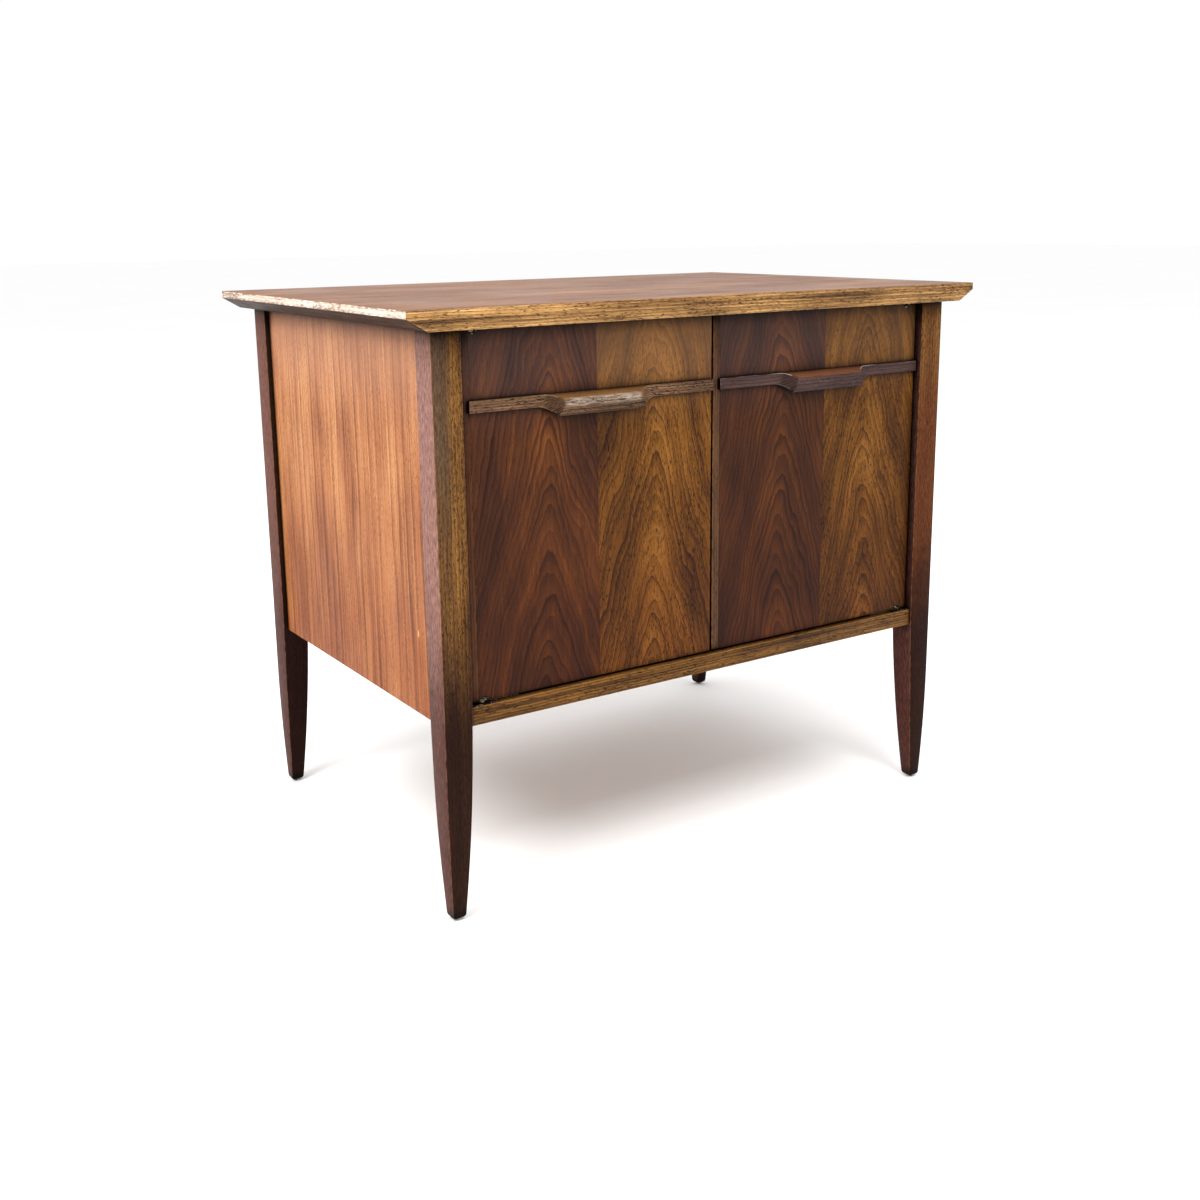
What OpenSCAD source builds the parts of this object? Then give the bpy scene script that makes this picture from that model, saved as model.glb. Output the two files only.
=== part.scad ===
// Two-door sideboard cabinet on four bowed legs.
// Millimetres, +Z up, front faces -Y. Origin on the floor at the centre of the leg plan.

/* [Case] */
// Width over the outer faces of the legs
case_w = 760; // [600:1:1100]
// Depth over the outer faces of the legs
case_d = 523; // [380:1:640]
// Height of the legs, floor to underside of top
leg_h = 677; // [560:1:860]
// Height of the underside of the case above the floor
case_z = 233; // [160:1:300]

/* [Top] */
// Thickness of the top
top_t = 23; // [18:0.5:32]
// Overhang of the top past the legs at each end
top_end_over = 36; // [28:0.5:60]
// Overhang of the top past the legs at front and back
top_front_over = 20; // [14:0.5:40]
// Height of the upright edge left above the bevel at each end
nib_h = 9; // [5:0.5:14]
// Horizontal run of the bevel under each end
bevel_run = 24; // [14:0.5:26]
// Width of the solid lipping along the front and back edges
top_lip = 12; // [8:0.5:20]
// Width of the solid lipping at the two ends
top_end_lip = 30; // [27:0.5:40]

/* [Legs] */
// Side of the square leg stock
leg_s = 36.5; // [32:0.5:44]
// Height where the outer faces start to bow in
bow_out_z = 157; // [120:1:200]
// Amount the outer faces come in at the foot
bow_out = 4.2; // [2:0.1:7]
// Height where the inner faces start to bow in
bow_in_z = 295; // [240:1:340]
// Amount the inner faces come in at the foot
bow_in = 16; // [8:0.5:19]
// Diameter of the nail glide under each foot
glide_d = 9; // [7:0.5:11]
// Depth the glide head stands below the wood of the foot
glide_h = 2; // [1:0.5:4]

/* [Case panels] */
// Thickness of the side panels
side_t = 10; // [8:0.5:14]
// Set-back of the side panels behind the outer leg faces
side_set = 7; // [4:0.5:10]
// Depth the side panels and rails are let into the legs
housing = 8; // [5:0.5:12]
// Height of the bottom front rail
rail_h = 22; // [18:0.5:32]
// Set-back of the bottom front rail behind the leg fronts
rail_set = 3; // [1:0.5:5]
// Depth of the bottom front rail, front to back
rail_d = 26; // [25:0.5:32]
// Thickness of the bottom panel
bottom_t = 16; // [12:0.5:20]
// Thickness of the back panel
back_t = 6; // [4:0.5:10]
// Set-back of the back panel behind the rear leg faces
back_set = 8; // [4:0.5:12]
// Height of the rails and cleats under the top
top_rail_h = 20; // [18:0.5:32]
// Depth of the front and back top rails
top_rail_d = 60; // [50:1:90]
// Width of the side cleats under the top
cleat_w = 26; // [20:0.5:34]

/* [Shelf] */
// Thickness of the adjustable shelf
shelf_t = 18; // [15:0.5:22]
// Height of the underside of the shelf above the bottom panel
shelf_up = 190; // [120:1:260]
// Gap between the shelf and the case at each side
shelf_gap = 1; // [0.5:0.1:2]
// Distance of the shelf front behind the leg fronts
shelf_front = 62; // [50:1:120]
// Diameter of a shelf pin
pin_d = 5; // [4:0.5:7]
// Pitch of the pin holes up the sides
pin_pitch = 32; // [25:1:50]
// Radial clearance of a spare pin hole
pin_fit = 0.05; // [0.02:0.01:0.1]

/* [Doors] */
// Thickness of a door without its veneer
door_t = 18.2; // [16:0.1:22]
// Thickness of the face veneer
veneer_t = 0.8; // [0.6:0.1:1.2]
// Set-back of the door faces behind the leg fronts
door_set = 10; // [9:0.5:14]
// Gap between a door and its leg
door_gap = 2.5; // [2.2:0.1:4]
// Gap above and below the doors
door_gap_z = 2.5; // [2.4:0.1:4]
// Gap between the two doors
meet_gap = 3; // [2:0.1:5]
// Width of the solid strip down the left edge of each door
strip_w = 10.5; // [7:0.5:13]
// Shift of the veneer seam of the right door from the middle of its face
seam_shift = 5.5; // [-10:0.5:10]
// Width of the thin lipping on the other edges of each door
edge_w = 4; // [2:0.5:8]
// Swing of each door
door_swing = 105; // [90:1:110]

/* [Pulls] */
// Distance of the pull below the top edge of the door
pull_down = 75.5; // [50:0.5:110]
// Distance of the pull from the left edge of the door
pull_in = 7.5; // [4:0.5:16]
// Height of the flat pull bar
pull_bar_h = 13.5; // [10:0.5:18]
// Projection of the flat pull bar
pull_bar_p = 5; // [3:0.5:5.5]
// Projection of the finger grip in the middle of the pull
grip_p = 18; // [14:0.5:24]
// Height of the finger grip
grip_h = 24.5; // [20:0.5:30]
// Length of the grip between its scooped ends
grip_len = 106; // [80:1:160]
// Length of each scooped end
scoop_len = 26; // [16:0.5:36]
// Fall of the upper face of the grip towards its front edge
grip_fall = 3.5; // [0:0.1:5]
// Radius worn on the front edges of the grip
grip_round = 3; // [1:0.5:4]
// Radius of the finger hollow behind the grip
hollow_r = 11; // [8:0.5:12]
// Offset of the grip from the middle of the pull
grip_shift = 0; // [-20:1:20]

/* [Hinges] */
// Distance of the pivot from the outer edge of the door
pivot_e = 15; // [13:0.5:20]
// Distance of the pivot behind the door face
pivot_t = 3; // [2:0.5:3.5]
// Diameter of the pivot pin
pivot_d = 4; // [3:0.5:5]
// Radial clearance of the pivot pin in its bore
pivot_fit = 0.05; // [0.02:0.01:0.1]
// Radius of the round end of a hinge leaf
knuckle_r = 5; // [4:0.5:6]
// Thickness of a hinge leaf
leaf_t = 3; // [2.5:0.1:4]
// Width of a hinge leaf
leaf_w = 10; // [8:0.5:12]
// Length of a hinge leaf past the pivot
leaf_len = 48; // [36:1:60]
// Running gap between the two leaves of a hinge
leaf_gap = 0.5; // [0.3:0.1:0.8]

/* [Catches] */
// Width of a catch housing
catch_w = 40; // [30:1:50]
// Depth of a catch housing
catch_d = 16; // [12:0.5:22]
// Height of a catch housing
catch_h = 12; // [10:0.5:16]
// Thickness of a strike plate
strike_t = 1.2; // [0.8:0.1:2]
// Gap between the catch magnet and the strike plate with the door shut
catch_gap = 0.4; // [0.3:0.1:1]

/* [Fixings] */
// Diameter of a wood screw shank
screw_d = 3.5; // [3:0.5:5]
// Diameter of a wood screw head
screw_head = 7; // [6:0.5:9]
// Diameter of a joint dowel
dowel_d = 8; // [6:0.5:10]
// Length of a joint dowel
dowel_len = 30; // [20:1:40]

/* [Hidden] */
$fn = 96;

// Leg faces
leg_x = case_w / 2;
leg_y = case_d / 2;
leg_in_x = leg_x - leg_s;
leg_in_y = leg_y - leg_s;
// Each bow is an arc that meets its face at a very small angle, with its centre this much higher
bow_lead = 24;
bow_facets = 1440;
foot_chamfer = 2;
glide_shank_d = 2.5;
glide_shank = 16;
// Middle of the foot measured from the outer faces of the leg
glide_xy = (bow_out + leg_s - bow_in) / 2;

// Top
top_x = leg_x + top_end_over;
top_y = leg_y + top_front_over;
bevel_rise = top_t - nib_h;

// Case
side_in_x = leg_x - side_set - side_t;
rail_top = case_z + rail_h;
rail_back_y = -leg_y + rail_set + rail_d;
back_in_y = leg_y - back_set - back_t;
rail_under = leg_h - top_rail_h;
shelf_z = rail_top + shelf_up;
shelf_lip = 6;
shelf_front_y = -leg_y + shelf_front;
shelf_back_y = back_in_y - shelf_gap;
pin_out = 9;
pin_deep = 7;
pin_y = 150;
pin_z = shelf_z - pin_d / 2;

// Doors
face_y = -leg_y + door_set;
core_y = face_y + veneer_t;
door_back_y = core_y + door_t;
door_x0 = -leg_in_x + door_gap;
door_x1 = -meet_gap / 2;
door_w = door_x1 - door_x0;
door_z0 = rail_top + door_gap_z;
door_z1 = leg_h - door_gap_z;
door_h = door_z1 - door_z0;
stop_gap = 1.5;

// Pulls
pull_z1 = door_z1 - pull_down;
pull_z0 = pull_z1 - pull_bar_h;
grip_z0 = pull_z1 - grip_h;
pull_len = door_w - pull_in;
scoop_plan_rise = grip_p - pull_bar_p;
scoop_plan_r = (scoop_len * scoop_len + scoop_plan_rise * scoop_plan_rise) / (2 * scoop_plan_rise);
scoop_drop = grip_h - pull_bar_h;
scoop_drop_r = (scoop_len * scoop_len + scoop_drop * scoop_drop) / (2 * scoop_drop);

// Hinges
pivot_x = leg_in_x - door_gap - pivot_e;
pivot_y = face_y + pivot_t;
leaf_rise = (door_gap_z - leaf_gap) / 2;
leaf_front = 1.5;
pin_reach = leaf_gap + leaf_t - 0.3;
leaf_screw_x = [20, 38];
leaf_screw_len = 14;

// Radius swept by the back corner of a door, and the rail face that clears it
swing_r = sqrt(pow(pivot_e, 2) + pow(door_t + veneer_t - pivot_t, 2));
top_rail_y = max(-leg_in_y, pivot_y + swing_r + 1);
stop_x = pivot_x - 30;

// Catches
catch_x = 40;
catch_front_y = door_back_y + strike_t + catch_gap;

// Fixings
screw_len = 26;

// Warm wood, metal and plastic colours
wood_top = [0.62, 0.42, 0.30];
wood_edge = [0.52, 0.36, 0.20];
wood_leg = [0.40, 0.27, 0.18];
wood_side = [0.66, 0.41, 0.25];
wood_dark = [0.33, 0.20, 0.15];
wood_gold = [0.50, 0.33, 0.17];
wood_pale = [0.72, 0.58, 0.40];
metal_brass = [0.62, 0.50, 0.28];
metal_steel = [0.55, 0.55, 0.56];
plastic_brown = [0.28, 0.18, 0.12];

// ---- helpers ----

// Copy of the child mirrored to the right when side is 1, as built when side is -1
module on_side(side) {
  mirror([side > 0 ? 1 : 0, 0, 0]) children();
}

// Countersunk wood screw, head flush at z 0, pointing down
module wood_screw(len) {
  translate([0, 0, -len]) cylinder(d = screw_d, h = len);
  translate([0, 0, -screw_d / 2]) cylinder(d1 = screw_d, d2 = screw_head, h = screw_d / 2);
}

// Radius of the arc that leaves a face at z_start and is in by the inset at the floor
function bow_r(z_start, inset) = (z_start * z_start + 2 * z_start * bow_lead) / (2 * inset);

// Sliver taken off a face at x 0 so that it bows in below z_start
module bow_cut(z_start, inset) {
  radius = bow_r(z_start, inset);
  reach = sqrt(radius * radius - bow_lead * bow_lead);
  difference() {
    translate([-6, -3, -3]) cube([inset + 9, leg_s + 6, z_start + bow_lead + 3]);
    translate([reach, -6, z_start + bow_lead]) rotate([-90, 0, 0])
      cylinder(r = radius, h = leg_s + 12, $fn = bow_facets);
  }
}

// Leg with its outer faces on x 0 and y 0
module leg_blank() {
  difference() {
    cube([leg_s, leg_s, leg_h]);
    bow_cut(bow_out_z, bow_out);
    mirror([1, -1, 0]) bow_cut(bow_out_z, bow_out);
    translate([leg_s, 0, 0]) mirror([1, 0, 0]) bow_cut(bow_in_z, bow_in);
    translate([0, leg_s, 0]) mirror([0, 1, 0]) mirror([1, -1, 0]) bow_cut(bow_in_z, bow_in);
  }
}

// Leg cut back to stand on its glide, outer faces on x 0 and y 0
module leg_trimmed() {
  difference() {
    leg_blank();
    translate([-1, -1, -1]) cube([leg_s + 2, leg_s + 2, glide_h + 1]);
    foot_chamfers();
    translate([glide_xy, glide_xy, glide_h - 1]) cylinder(d = glide_shank_d, h = glide_shank + 1);
  }
}

// Leg placed at a corner: sx and sy are -1 or 1
module leg_at(sx, sy) {
  translate([sx * leg_x, sy * leg_y, 0]) mirror([sx > 0 ? 1 : 0, 0, 0])
    mirror([0, sy > 0 ? 1 : 0, 0]) leg_trimmed();
}

// Four chamfers round the bottom of the foot
module foot_chamfers() {
  far = leg_s - bow_in;
  c = foot_chamfer;
  translate([0, 0, glide_h]) {
    chamfer_bar(bow_out, c);
    mirror([1, -1, 0]) chamfer_bar(bow_out, c);
    translate([far, 0, 0]) mirror([1, 0, 0]) chamfer_bar(0, c);
    translate([0, far, 0]) mirror([0, 1, 0]) mirror([1, -1, 0]) chamfer_bar(0, c);
  }
}

// Square bar set on its corner so that it takes a chamfer off an edge at x
module chamfer_bar(x, c) {
  translate([x, -1, 0]) rotate([0, 45, 0])
    translate([-c * 0.7, 0, -c * 0.7]) cube([c * 1.4, leg_s + 2, c * 1.4]);
}

// Housings that the rails, sides and back take in every leg
module leg_housings() {
  side_board(-1);
  side_board(1);
  front_rail_bar();
  back_board();
}

module leg_color() {
  color(wood_leg) difference() {
    children();
    leg_housings();
  }
}

// ---- top ----

// Whole top: square at front and back, bevelled under both ends
module top_block() {
  translate([0, top_y, leg_h]) rotate([90, 0, 0]) linear_extrude(height = 2 * top_y)
    polygon([
      [-top_x + bevel_run, 0], [top_x - bevel_run, 0], [top_x, bevel_rise],
      [top_x, top_t], [-top_x, top_t], [-top_x, bevel_rise]
    ]);
}

module top_panel() {
  color(wood_top) difference() {
    translate([-top_x + top_end_lip, -top_y + top_lip, leg_h])
      cube([2 * (top_x - top_end_lip), 2 * (top_y - top_lip), top_t]);
    frame_leaf(-1, 1);
    frame_leaf(1, 1);
    leaf_screw_set(-1, 1);
    leaf_screw_set(1, 1);
    top_screw_set();
  }
}

module top_front_lipping() {
  color(wood_edge) intersection() {
    top_block();
    translate([-top_x, -top_y, leg_h]) cube([2 * top_x, top_lip, top_t]);
  }
}

module top_back_lipping() {
  color(wood_edge) intersection() {
    top_block();
    translate([-top_x, top_y - top_lip, leg_h]) cube([2 * top_x, top_lip, top_t]);
  }
}

module top_end_lipping(side) {
  color(wood_edge) intersection() {
    top_block();
    on_side(side) translate([-top_x, -top_y + top_lip, leg_h])
      cube([top_end_lip, 2 * (top_y - top_lip), top_t]);
  }
}

module top_left_lipping() {
  top_end_lipping(-1);
}

module top_right_lipping() {
  top_end_lipping(1);
}

// ---- legs ----

module leg_front_left() {
  leg_color() leg_at(-1, -1);
}

module leg_front_right() {
  leg_color() leg_at(1, -1);
}

module leg_rear_left() {
  leg_color() leg_at(-1, 1);
}

module leg_rear_right() {
  leg_color() leg_at(1, 1);
}

module foot_glides() {
  color(metal_steel) for (sx = [-1, 1], sy = [-1, 1])
    translate([sx * (leg_x - glide_xy), sy * (leg_y - glide_xy), 0]) {
      cylinder(d1 = glide_d - 2, d2 = glide_d, h = glide_h);
      translate([0, 0, glide_h]) cylinder(d = glide_shank_d, h = glide_shank);
    }
}

// ---- case ----

// Side board with its two long edges let into the legs
module side_board(side) {
  on_side(side) translate([-side_in_x - side_t, -leg_in_y - housing, case_z])
    cube([side_t, 2 * (leg_in_y + housing), leg_h - case_z]);
}

module side_holes(side) {
  for (y = [-pin_y, pin_y], k = [-1, 0, 1])
    translate([side * (side_in_x - 1), y, pin_z + k * pin_pitch])
      rotate([0, side * 90, 0])
        cylinder(d = pin_d + (k == 0 ? 0 : 2 * pin_fit), h = pin_deep + 1);
}

module side_panel_left() {
  color(wood_side) difference() {
    side_board(-1);
    side_holes(-1);
  }
}

module side_panel_right() {
  color(wood_side) difference() {
    side_board(1);
    side_holes(1);
  }
}

module front_rail_bar() {
  translate([-leg_in_x - housing, -leg_y + rail_set, case_z])
    cube([2 * (leg_in_x + housing), rail_d, rail_h]);
}

module bottom_front_rail() {
  color(wood_edge) difference() {
    front_rail_bar();
    side_board(-1);
    side_board(1);
    frame_leaf(-1, -1);
    frame_leaf(1, -1);
    leaf_screw_set(-1, -1);
    leaf_screw_set(1, -1);
    dowel_set();
  }
}

module bottom_panel() {
  color(wood_pale) difference() {
    translate([-side_in_x, rail_back_y, rail_top - bottom_t])
      cube([2 * side_in_x, back_in_y - rail_back_y, bottom_t]);
    for (sx = [-1, 1], sy = [-1, 1])
      translate([sx * (leg_x - leg_s / 2), sy * (leg_y - leg_s / 2), rail_top - bottom_t / 2])
        cube([leg_s, leg_s, bottom_t + 2], center = true);
    dowel_set();
    translate([0, 0, rail_top - bottom_t / 2]) back_screw_row();
  }
}

module back_board() {
  translate([-leg_in_x - housing, back_in_y, rail_top - bottom_t])
    cube([2 * (leg_in_x + housing), back_t, leg_h - rail_top + bottom_t]);
}

module back_panel() {
  color(wood_pale) difference() {
    back_board();
    back_screw_set();
  }
}

module top_rail_front() {
  color(wood_pale) difference() {
    union() {
      translate([-side_in_x, top_rail_y, rail_under])
        cube([2 * side_in_x, -leg_y + top_rail_d - top_rail_y, top_rail_h]);
      translate([-stop_x, door_back_y + stop_gap, rail_under])
        cube([2 * stop_x, top_rail_y - door_back_y - stop_gap, top_rail_h]);
    }
    translate([-catch_x - catch_w / 2 - 1, door_back_y, rail_under - 1])
      cube([2 * catch_x + catch_w + 2, catch_d + 2, catch_h + 1]);
    top_screw_set();
    catch_screw_set();
    dowel_set();
  }
}

module top_rail_back() {
  color(wood_pale) difference() {
    translate([-side_in_x, back_in_y - top_rail_d, rail_under])
      cube([2 * side_in_x, top_rail_d, top_rail_h]);
    for (sx = [-1, 1])
      translate([sx * (leg_x - leg_s / 2), leg_y - leg_s / 2, leg_h - top_rail_h / 2])
        cube([leg_s, leg_s, top_rail_h + 2], center = true);
    top_screw_set();
    back_screw_set();
    dowel_set();
  }
}

// Cleat along the head of a side panel
module top_cleat(side) {
  color(wood_pale) difference() {
    on_side(side) translate([-side_in_x, -leg_y + top_rail_d, rail_under])
      cube([cleat_w, back_in_y - top_rail_d + leg_y - top_rail_d, top_rail_h]);
    top_screw_set();
    dowel_set();
  }
}

module top_cleat_left() {
  top_cleat(-1);
}

module top_cleat_right() {
  top_cleat(1);
}

// Dowels along Y that tie the cleats to the two top rails
module dowel_set() {
  for (sx = [-1, 1], y = [-leg_y + top_rail_d, back_in_y - top_rail_d])
    translate([sx * (side_in_x - cleat_w / 2), y, leg_h - top_rail_h / 2])
      rotate([90, 0, 0]) cylinder(d = dowel_d, h = dowel_len, center = true);
  for (x = [-0.5, 0, 0.5] * leg_in_x)
    translate([x, rail_back_y, rail_top - bottom_t / 2])
      rotate([90, 0, 0]) cylinder(d = dowel_d, h = dowel_len, center = true);
}

module joint_dowels() {
  color(wood_pale) dowel_set();
}

// ---- shelf ----

module shelf_board() {
  color(wood_pale) difference() {
    translate([-side_in_x + shelf_gap, shelf_front_y + shelf_lip, shelf_z])
      cube([2 * (side_in_x - shelf_gap), shelf_back_y - shelf_front_y - shelf_lip, shelf_t]);
    for (sx = [-1, 1])
      translate([sx * (leg_x - leg_s / 2), leg_y - leg_s / 2, shelf_z + shelf_t / 2])
        cube([leg_s + 2 * shelf_gap, leg_s + 2 * shelf_gap, shelf_t + 2], center = true);
  }
}

module shelf_front_lipping() {
  color(wood_edge) translate([-side_in_x + shelf_gap, shelf_front_y, shelf_z])
    cube([2 * (side_in_x - shelf_gap), shelf_lip, shelf_t]);
}

module shelf_pins() {
  color(metal_brass) for (side = [-1, 1], y = [-pin_y, pin_y])
    translate([side * (side_in_x + pin_deep), y, pin_z]) rotate([0, -side * 90, 0])
      cylinder(d = pin_d, h = pin_deep + pin_out);
}

// ---- case fixings ----

// Screws up through the rails and cleats into the top
module top_screw_set() {
  for (x = [-0.7, 0, 0.7] * leg_in_x, y = [-leg_y + top_rail_d - 7, back_in_y - 30])
    translate([x, y, rail_under]) rotate([180, 0, 0]) wood_screw(screw_len + 6);
  for (sx = [-1, 1])
    translate([sx * (side_in_x - cleat_w / 2), 0, rail_under]) rotate([180, 0, 0])
      wood_screw(screw_len + 6);
}

module top_fixing_screws() {
  color(metal_steel) top_screw_set();
}

// One row of screws through the back panel
module back_screw_row() {
  for (x = [-0.8, -0.27, 0.27, 0.8] * leg_in_x)
    translate([x, back_in_y + back_t, 0]) rotate([-90, 0, 0]) wood_screw(screw_len - 4);
}

module back_screw_set() {
  translate([0, 0, rail_top - bottom_t / 2]) back_screw_row();
  translate([0, 0, leg_h - top_rail_h / 2]) back_screw_row();
}

module back_panel_screws() {
  color(metal_steel) back_screw_set();
}

// ---- hinges ----

// Knife hinge leaf lying on z 0, pivot at the origin, strip running along +x
module leaf_plate() {
  cylinder(r = knuckle_r, h = leaf_t);
  translate([0, -leaf_front, 0]) cube([leaf_len, leaf_w, leaf_t]);
}

// Leaf moved to a corner: end is -1 at the bottom of the door and 1 at the top
module at_hinge(side, end) {
  on_side(side) translate([-pivot_x, pivot_y, end > 0 ? leg_h : rail_top])
    mirror([0, 0, end > 0 ? 1 : 0]) children();
}

// Leaf let into the rail or the top, pin included
module frame_leaf(side, end) {
  at_hinge(side, end) {
    translate([0, 0, leaf_rise - leaf_t]) leaf_plate();
    translate([0, 0, leaf_rise]) cylinder(d = pivot_d, h = pin_reach);
  }
}

// Leaf let into the end of the door, before its bore is cut
module door_leaf_blank(side, end) {
  at_hinge(side, end) translate([0, 0, door_gap_z - leaf_rise]) leaf_plate();
}

// Leaf let into the end of the door
module door_leaf(side, end) {
  color(metal_brass) difference() {
    door_leaf_blank(side, end);
    at_hinge(side, end) cylinder(r = pivot_d / 2 + pivot_fit, h = door_gap_z + leaf_t + 1);
    door_leaf_screw_set(side, end);
  }
}

// Screws holding a frame leaf; they point away from the door
module leaf_screw_set(side, end) {
  at_hinge(side, end) for (x = leaf_screw_x)
    translate([x, leaf_w / 2 - leaf_front, leaf_rise]) wood_screw(leaf_screw_len);
}

// Screws holding a door leaf; they point into the door
module door_leaf_screw_set(side, end) {
  at_hinge(side, end) for (x = leaf_screw_x)
    translate([x, leaf_w / 2 - leaf_front, door_gap_z - leaf_rise]) rotate([180, 0, 0])
      wood_screw(leaf_screw_len + 6);
}

module frame_leaf_node(side, end) {
  color(metal_brass) difference() {
    frame_leaf(side, end);
    leaf_screw_set(side, end);
  }
}

module frame_leaf_top_left() {
  frame_leaf_node(-1, 1);
}

module frame_leaf_bottom_left() {
  frame_leaf_node(-1, -1);
}

module frame_leaf_top_right() {
  frame_leaf_node(1, 1);
}

module frame_leaf_bottom_right() {
  frame_leaf_node(1, -1);
}

module frame_leaf_screws() {
  color(metal_brass) for (side = [-1, 1], end = [-1, 1]) leaf_screw_set(side, end);
}

module door_leaf_top_left() {
  door_leaf(-1, 1);
}

module door_leaf_bottom_left() {
  door_leaf(-1, -1);
}

module door_leaf_top_right() {
  door_leaf(1, 1);
}

module door_leaf_bottom_right() {
  door_leaf(1, -1);
}

module door_leaf_screws_left() {
  color(metal_brass) for (end = [-1, 1]) door_leaf_screw_set(-1, end);
}

module door_leaf_screws_right() {
  color(metal_brass) for (end = [-1, 1]) door_leaf_screw_set(1, end);
}

// ---- catches ----

module catch_body(side) {
  color(plastic_brown) difference() {
    translate([side * catch_x - catch_w / 2, catch_front_y, rail_under])
      cube([catch_w, catch_d, catch_h]);
    catch_screw_set();
  }
}

module catch_left() {
  catch_body(-1);
}

module catch_right() {
  catch_body(1);
}

module catch_screw_set() {
  for (side = [-1, 1], k = [-1, 1])
    translate([side * catch_x + k * (catch_w / 2 - 7), catch_front_y + catch_d / 2, rail_under])
      rotate([180, 0, 0]) wood_screw(catch_h + 7);
}

module catch_screws() {
  color(metal_steel) catch_screw_set();
}

module strike_plate(side) {
  color(metal_steel) translate([side * catch_x - catch_w / 2, door_back_y, rail_under])
    cube([catch_w, strike_t, catch_h]);
}

module strike_left() {
  strike_plate(-1);
}

module strike_right() {
  strike_plate(1);
}

// ---- doors ----

// Left edge of a door
function door_left(side) = side < 0 ? door_x0 : -door_x1;

// Everything cut out of the wood of a door
module door_cuts(side) {
  for (end = [-1, 1]) {
    door_leaf_blank(side, end);
    at_hinge(side, end) cylinder(r = pivot_d / 2 + pivot_fit, h = door_gap_z + leaf_t);
    door_leaf_screw_set(side, end);
  }
  pull_screw_set(side);
}

module door_core(side) {
  color(wood_pale) difference() {
    translate([door_left(side) + strip_w, core_y, door_z0 + edge_w])
      cube([door_w - strip_w - edge_w, door_t, door_h - 2 * edge_w]);
    door_cuts(side);
  }
}

module door_left_panel() {
  door_core(-1);
}

module door_right_panel() {
  door_core(1);
}

// Solid strip down the left edge, standing out to the face of the veneer
module door_strip(side) {
  color(wood_gold) difference() {
    translate([door_left(side), face_y, door_z0]) cube([strip_w, door_t + veneer_t, door_h]);
    door_cuts(side);
  }
}

module door_left_strip() {
  door_strip(-1);
}

module door_right_strip() {
  door_strip(1);
}

// Thin lipping along the top, bottom and right edges
module door_edges(side) {
  color(wood_edge) difference() {
    translate([door_left(side) + strip_w, core_y, door_z0])
      cube([door_w - strip_w, door_t, door_h]);
    translate([door_left(side) + strip_w - 1, core_y - 1, door_z0 + edge_w])
      cube([door_w - strip_w - edge_w + 1, door_t + 2, door_h - 2 * edge_w]);
    door_cuts(side);
  }
}

module door_left_edges() {
  door_edges(-1);
}

module door_right_edges() {
  door_edges(1);
}

// Half of the face veneer: half 0 is the left sheet and half 1 the right sheet
module door_veneer(side, half) {
  seam = (door_w - strip_w) / 2 + (side > 0 ? seam_shift : 0);
  x0 = half == 0 ? 0 : seam;
  x1 = half == 0 ? seam : door_w - strip_w;
  difference() {
    translate([door_left(side) + strip_w + x0, face_y, door_z0])
      cube([x1 - x0, veneer_t, door_h]);
    door_cuts(side);
  }
}

module door_left_veneer_dark() {
  color(wood_dark) door_veneer(-1, 0);
}

module door_left_veneer_gold() {
  color(wood_gold) door_veneer(-1, 1);
}

module door_right_veneer_dark() {
  color(wood_dark) door_veneer(1, 0);
}

module door_right_veneer_gold() {
  color(wood_gold) door_veneer(1, 1);
}

// ---- pulls ----

// Pull lying along x from 0, back face on y 0, projecting towards -y
module pull_shape() {
  mid = pull_len / 2 + grip_shift;
  x0 = mid - grip_len / 2 - scoop_len;
  x1 = mid + grip_len / 2 + scoop_len;
  translate([0, -pull_bar_p, 0]) cube([pull_len, pull_bar_p, pull_bar_h]);
  difference() {
    translate([x0, -grip_p, pull_bar_h - grip_h]) cube([x1 - x0, grip_p, grip_h]);
    grip_scoop(x0);
    grip_scoop(x1);
    grip_top_cut(x0, x1);
    grip_hollow(x0, x1);
    grip_nose_cut(x0, x1, pull_bar_h - grip_fall * (1 - grip_round / grip_p), -1);
    grip_nose_cut(x0, x1, pull_bar_h - grip_h, 1);
  }
}

// Two crossing scoops that run the grip out into the bar at x
module grip_scoop(x) {
  translate([x, -pull_bar_p - scoop_plan_r, -grip_h]) cylinder(r = scoop_plan_r, h = 3 * grip_h);
  translate([x, 1, -scoop_drop_r]) rotate([90, 0, 0]) cylinder(r = scoop_drop_r, h = grip_p + 2);
}

// Wedge that tips the upper face of the grip forward
module grip_top_cut(x0, x1) {
  translate([x0 - 1, 0, pull_bar_h]) rotate([atan(grip_fall / grip_p), 0, 0])
    translate([0, -2 * grip_p, 0]) cube([x1 - x0 + 2, 2 * grip_p, grip_h]);
}

// Finger hollow along the underside of the grip
module grip_hollow(x0, x1) {
  translate([x0 - 1, -1, pull_bar_h - grip_h - 2]) rotate([0, 90, 0])
    cylinder(r = hollow_r, h = x1 - x0 + 2);
}

// Round worn on a front edge at height z; up is 1 when the wood lies above it
module grip_nose_cut(x0, x1, z, up) {
  translate([0, -grip_p, z]) difference() {
    translate([x0 - 1, -1, up > 0 ? -1 : -grip_round])
      cube([x1 - x0 + 2, grip_round + 1, grip_round + 1]);
    translate([x0 - 2, grip_round, up * grip_round]) rotate([0, 90, 0])
      cylinder(r = grip_round, h = x1 - x0 + 4);
  }
}

// Screws from inside the door into the back of the pull
module pull_screw_set(side) {
  for (k = [-1, 1])
    translate([door_left(side) + pull_in + pull_len / 2 + k * grip_len * 0.7, door_back_y,
      pull_z0 + pull_bar_h / 2])
      rotate([-90, 0, 0]) wood_screw(door_t + veneer_t + pull_bar_p - 1.5);
}

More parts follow.
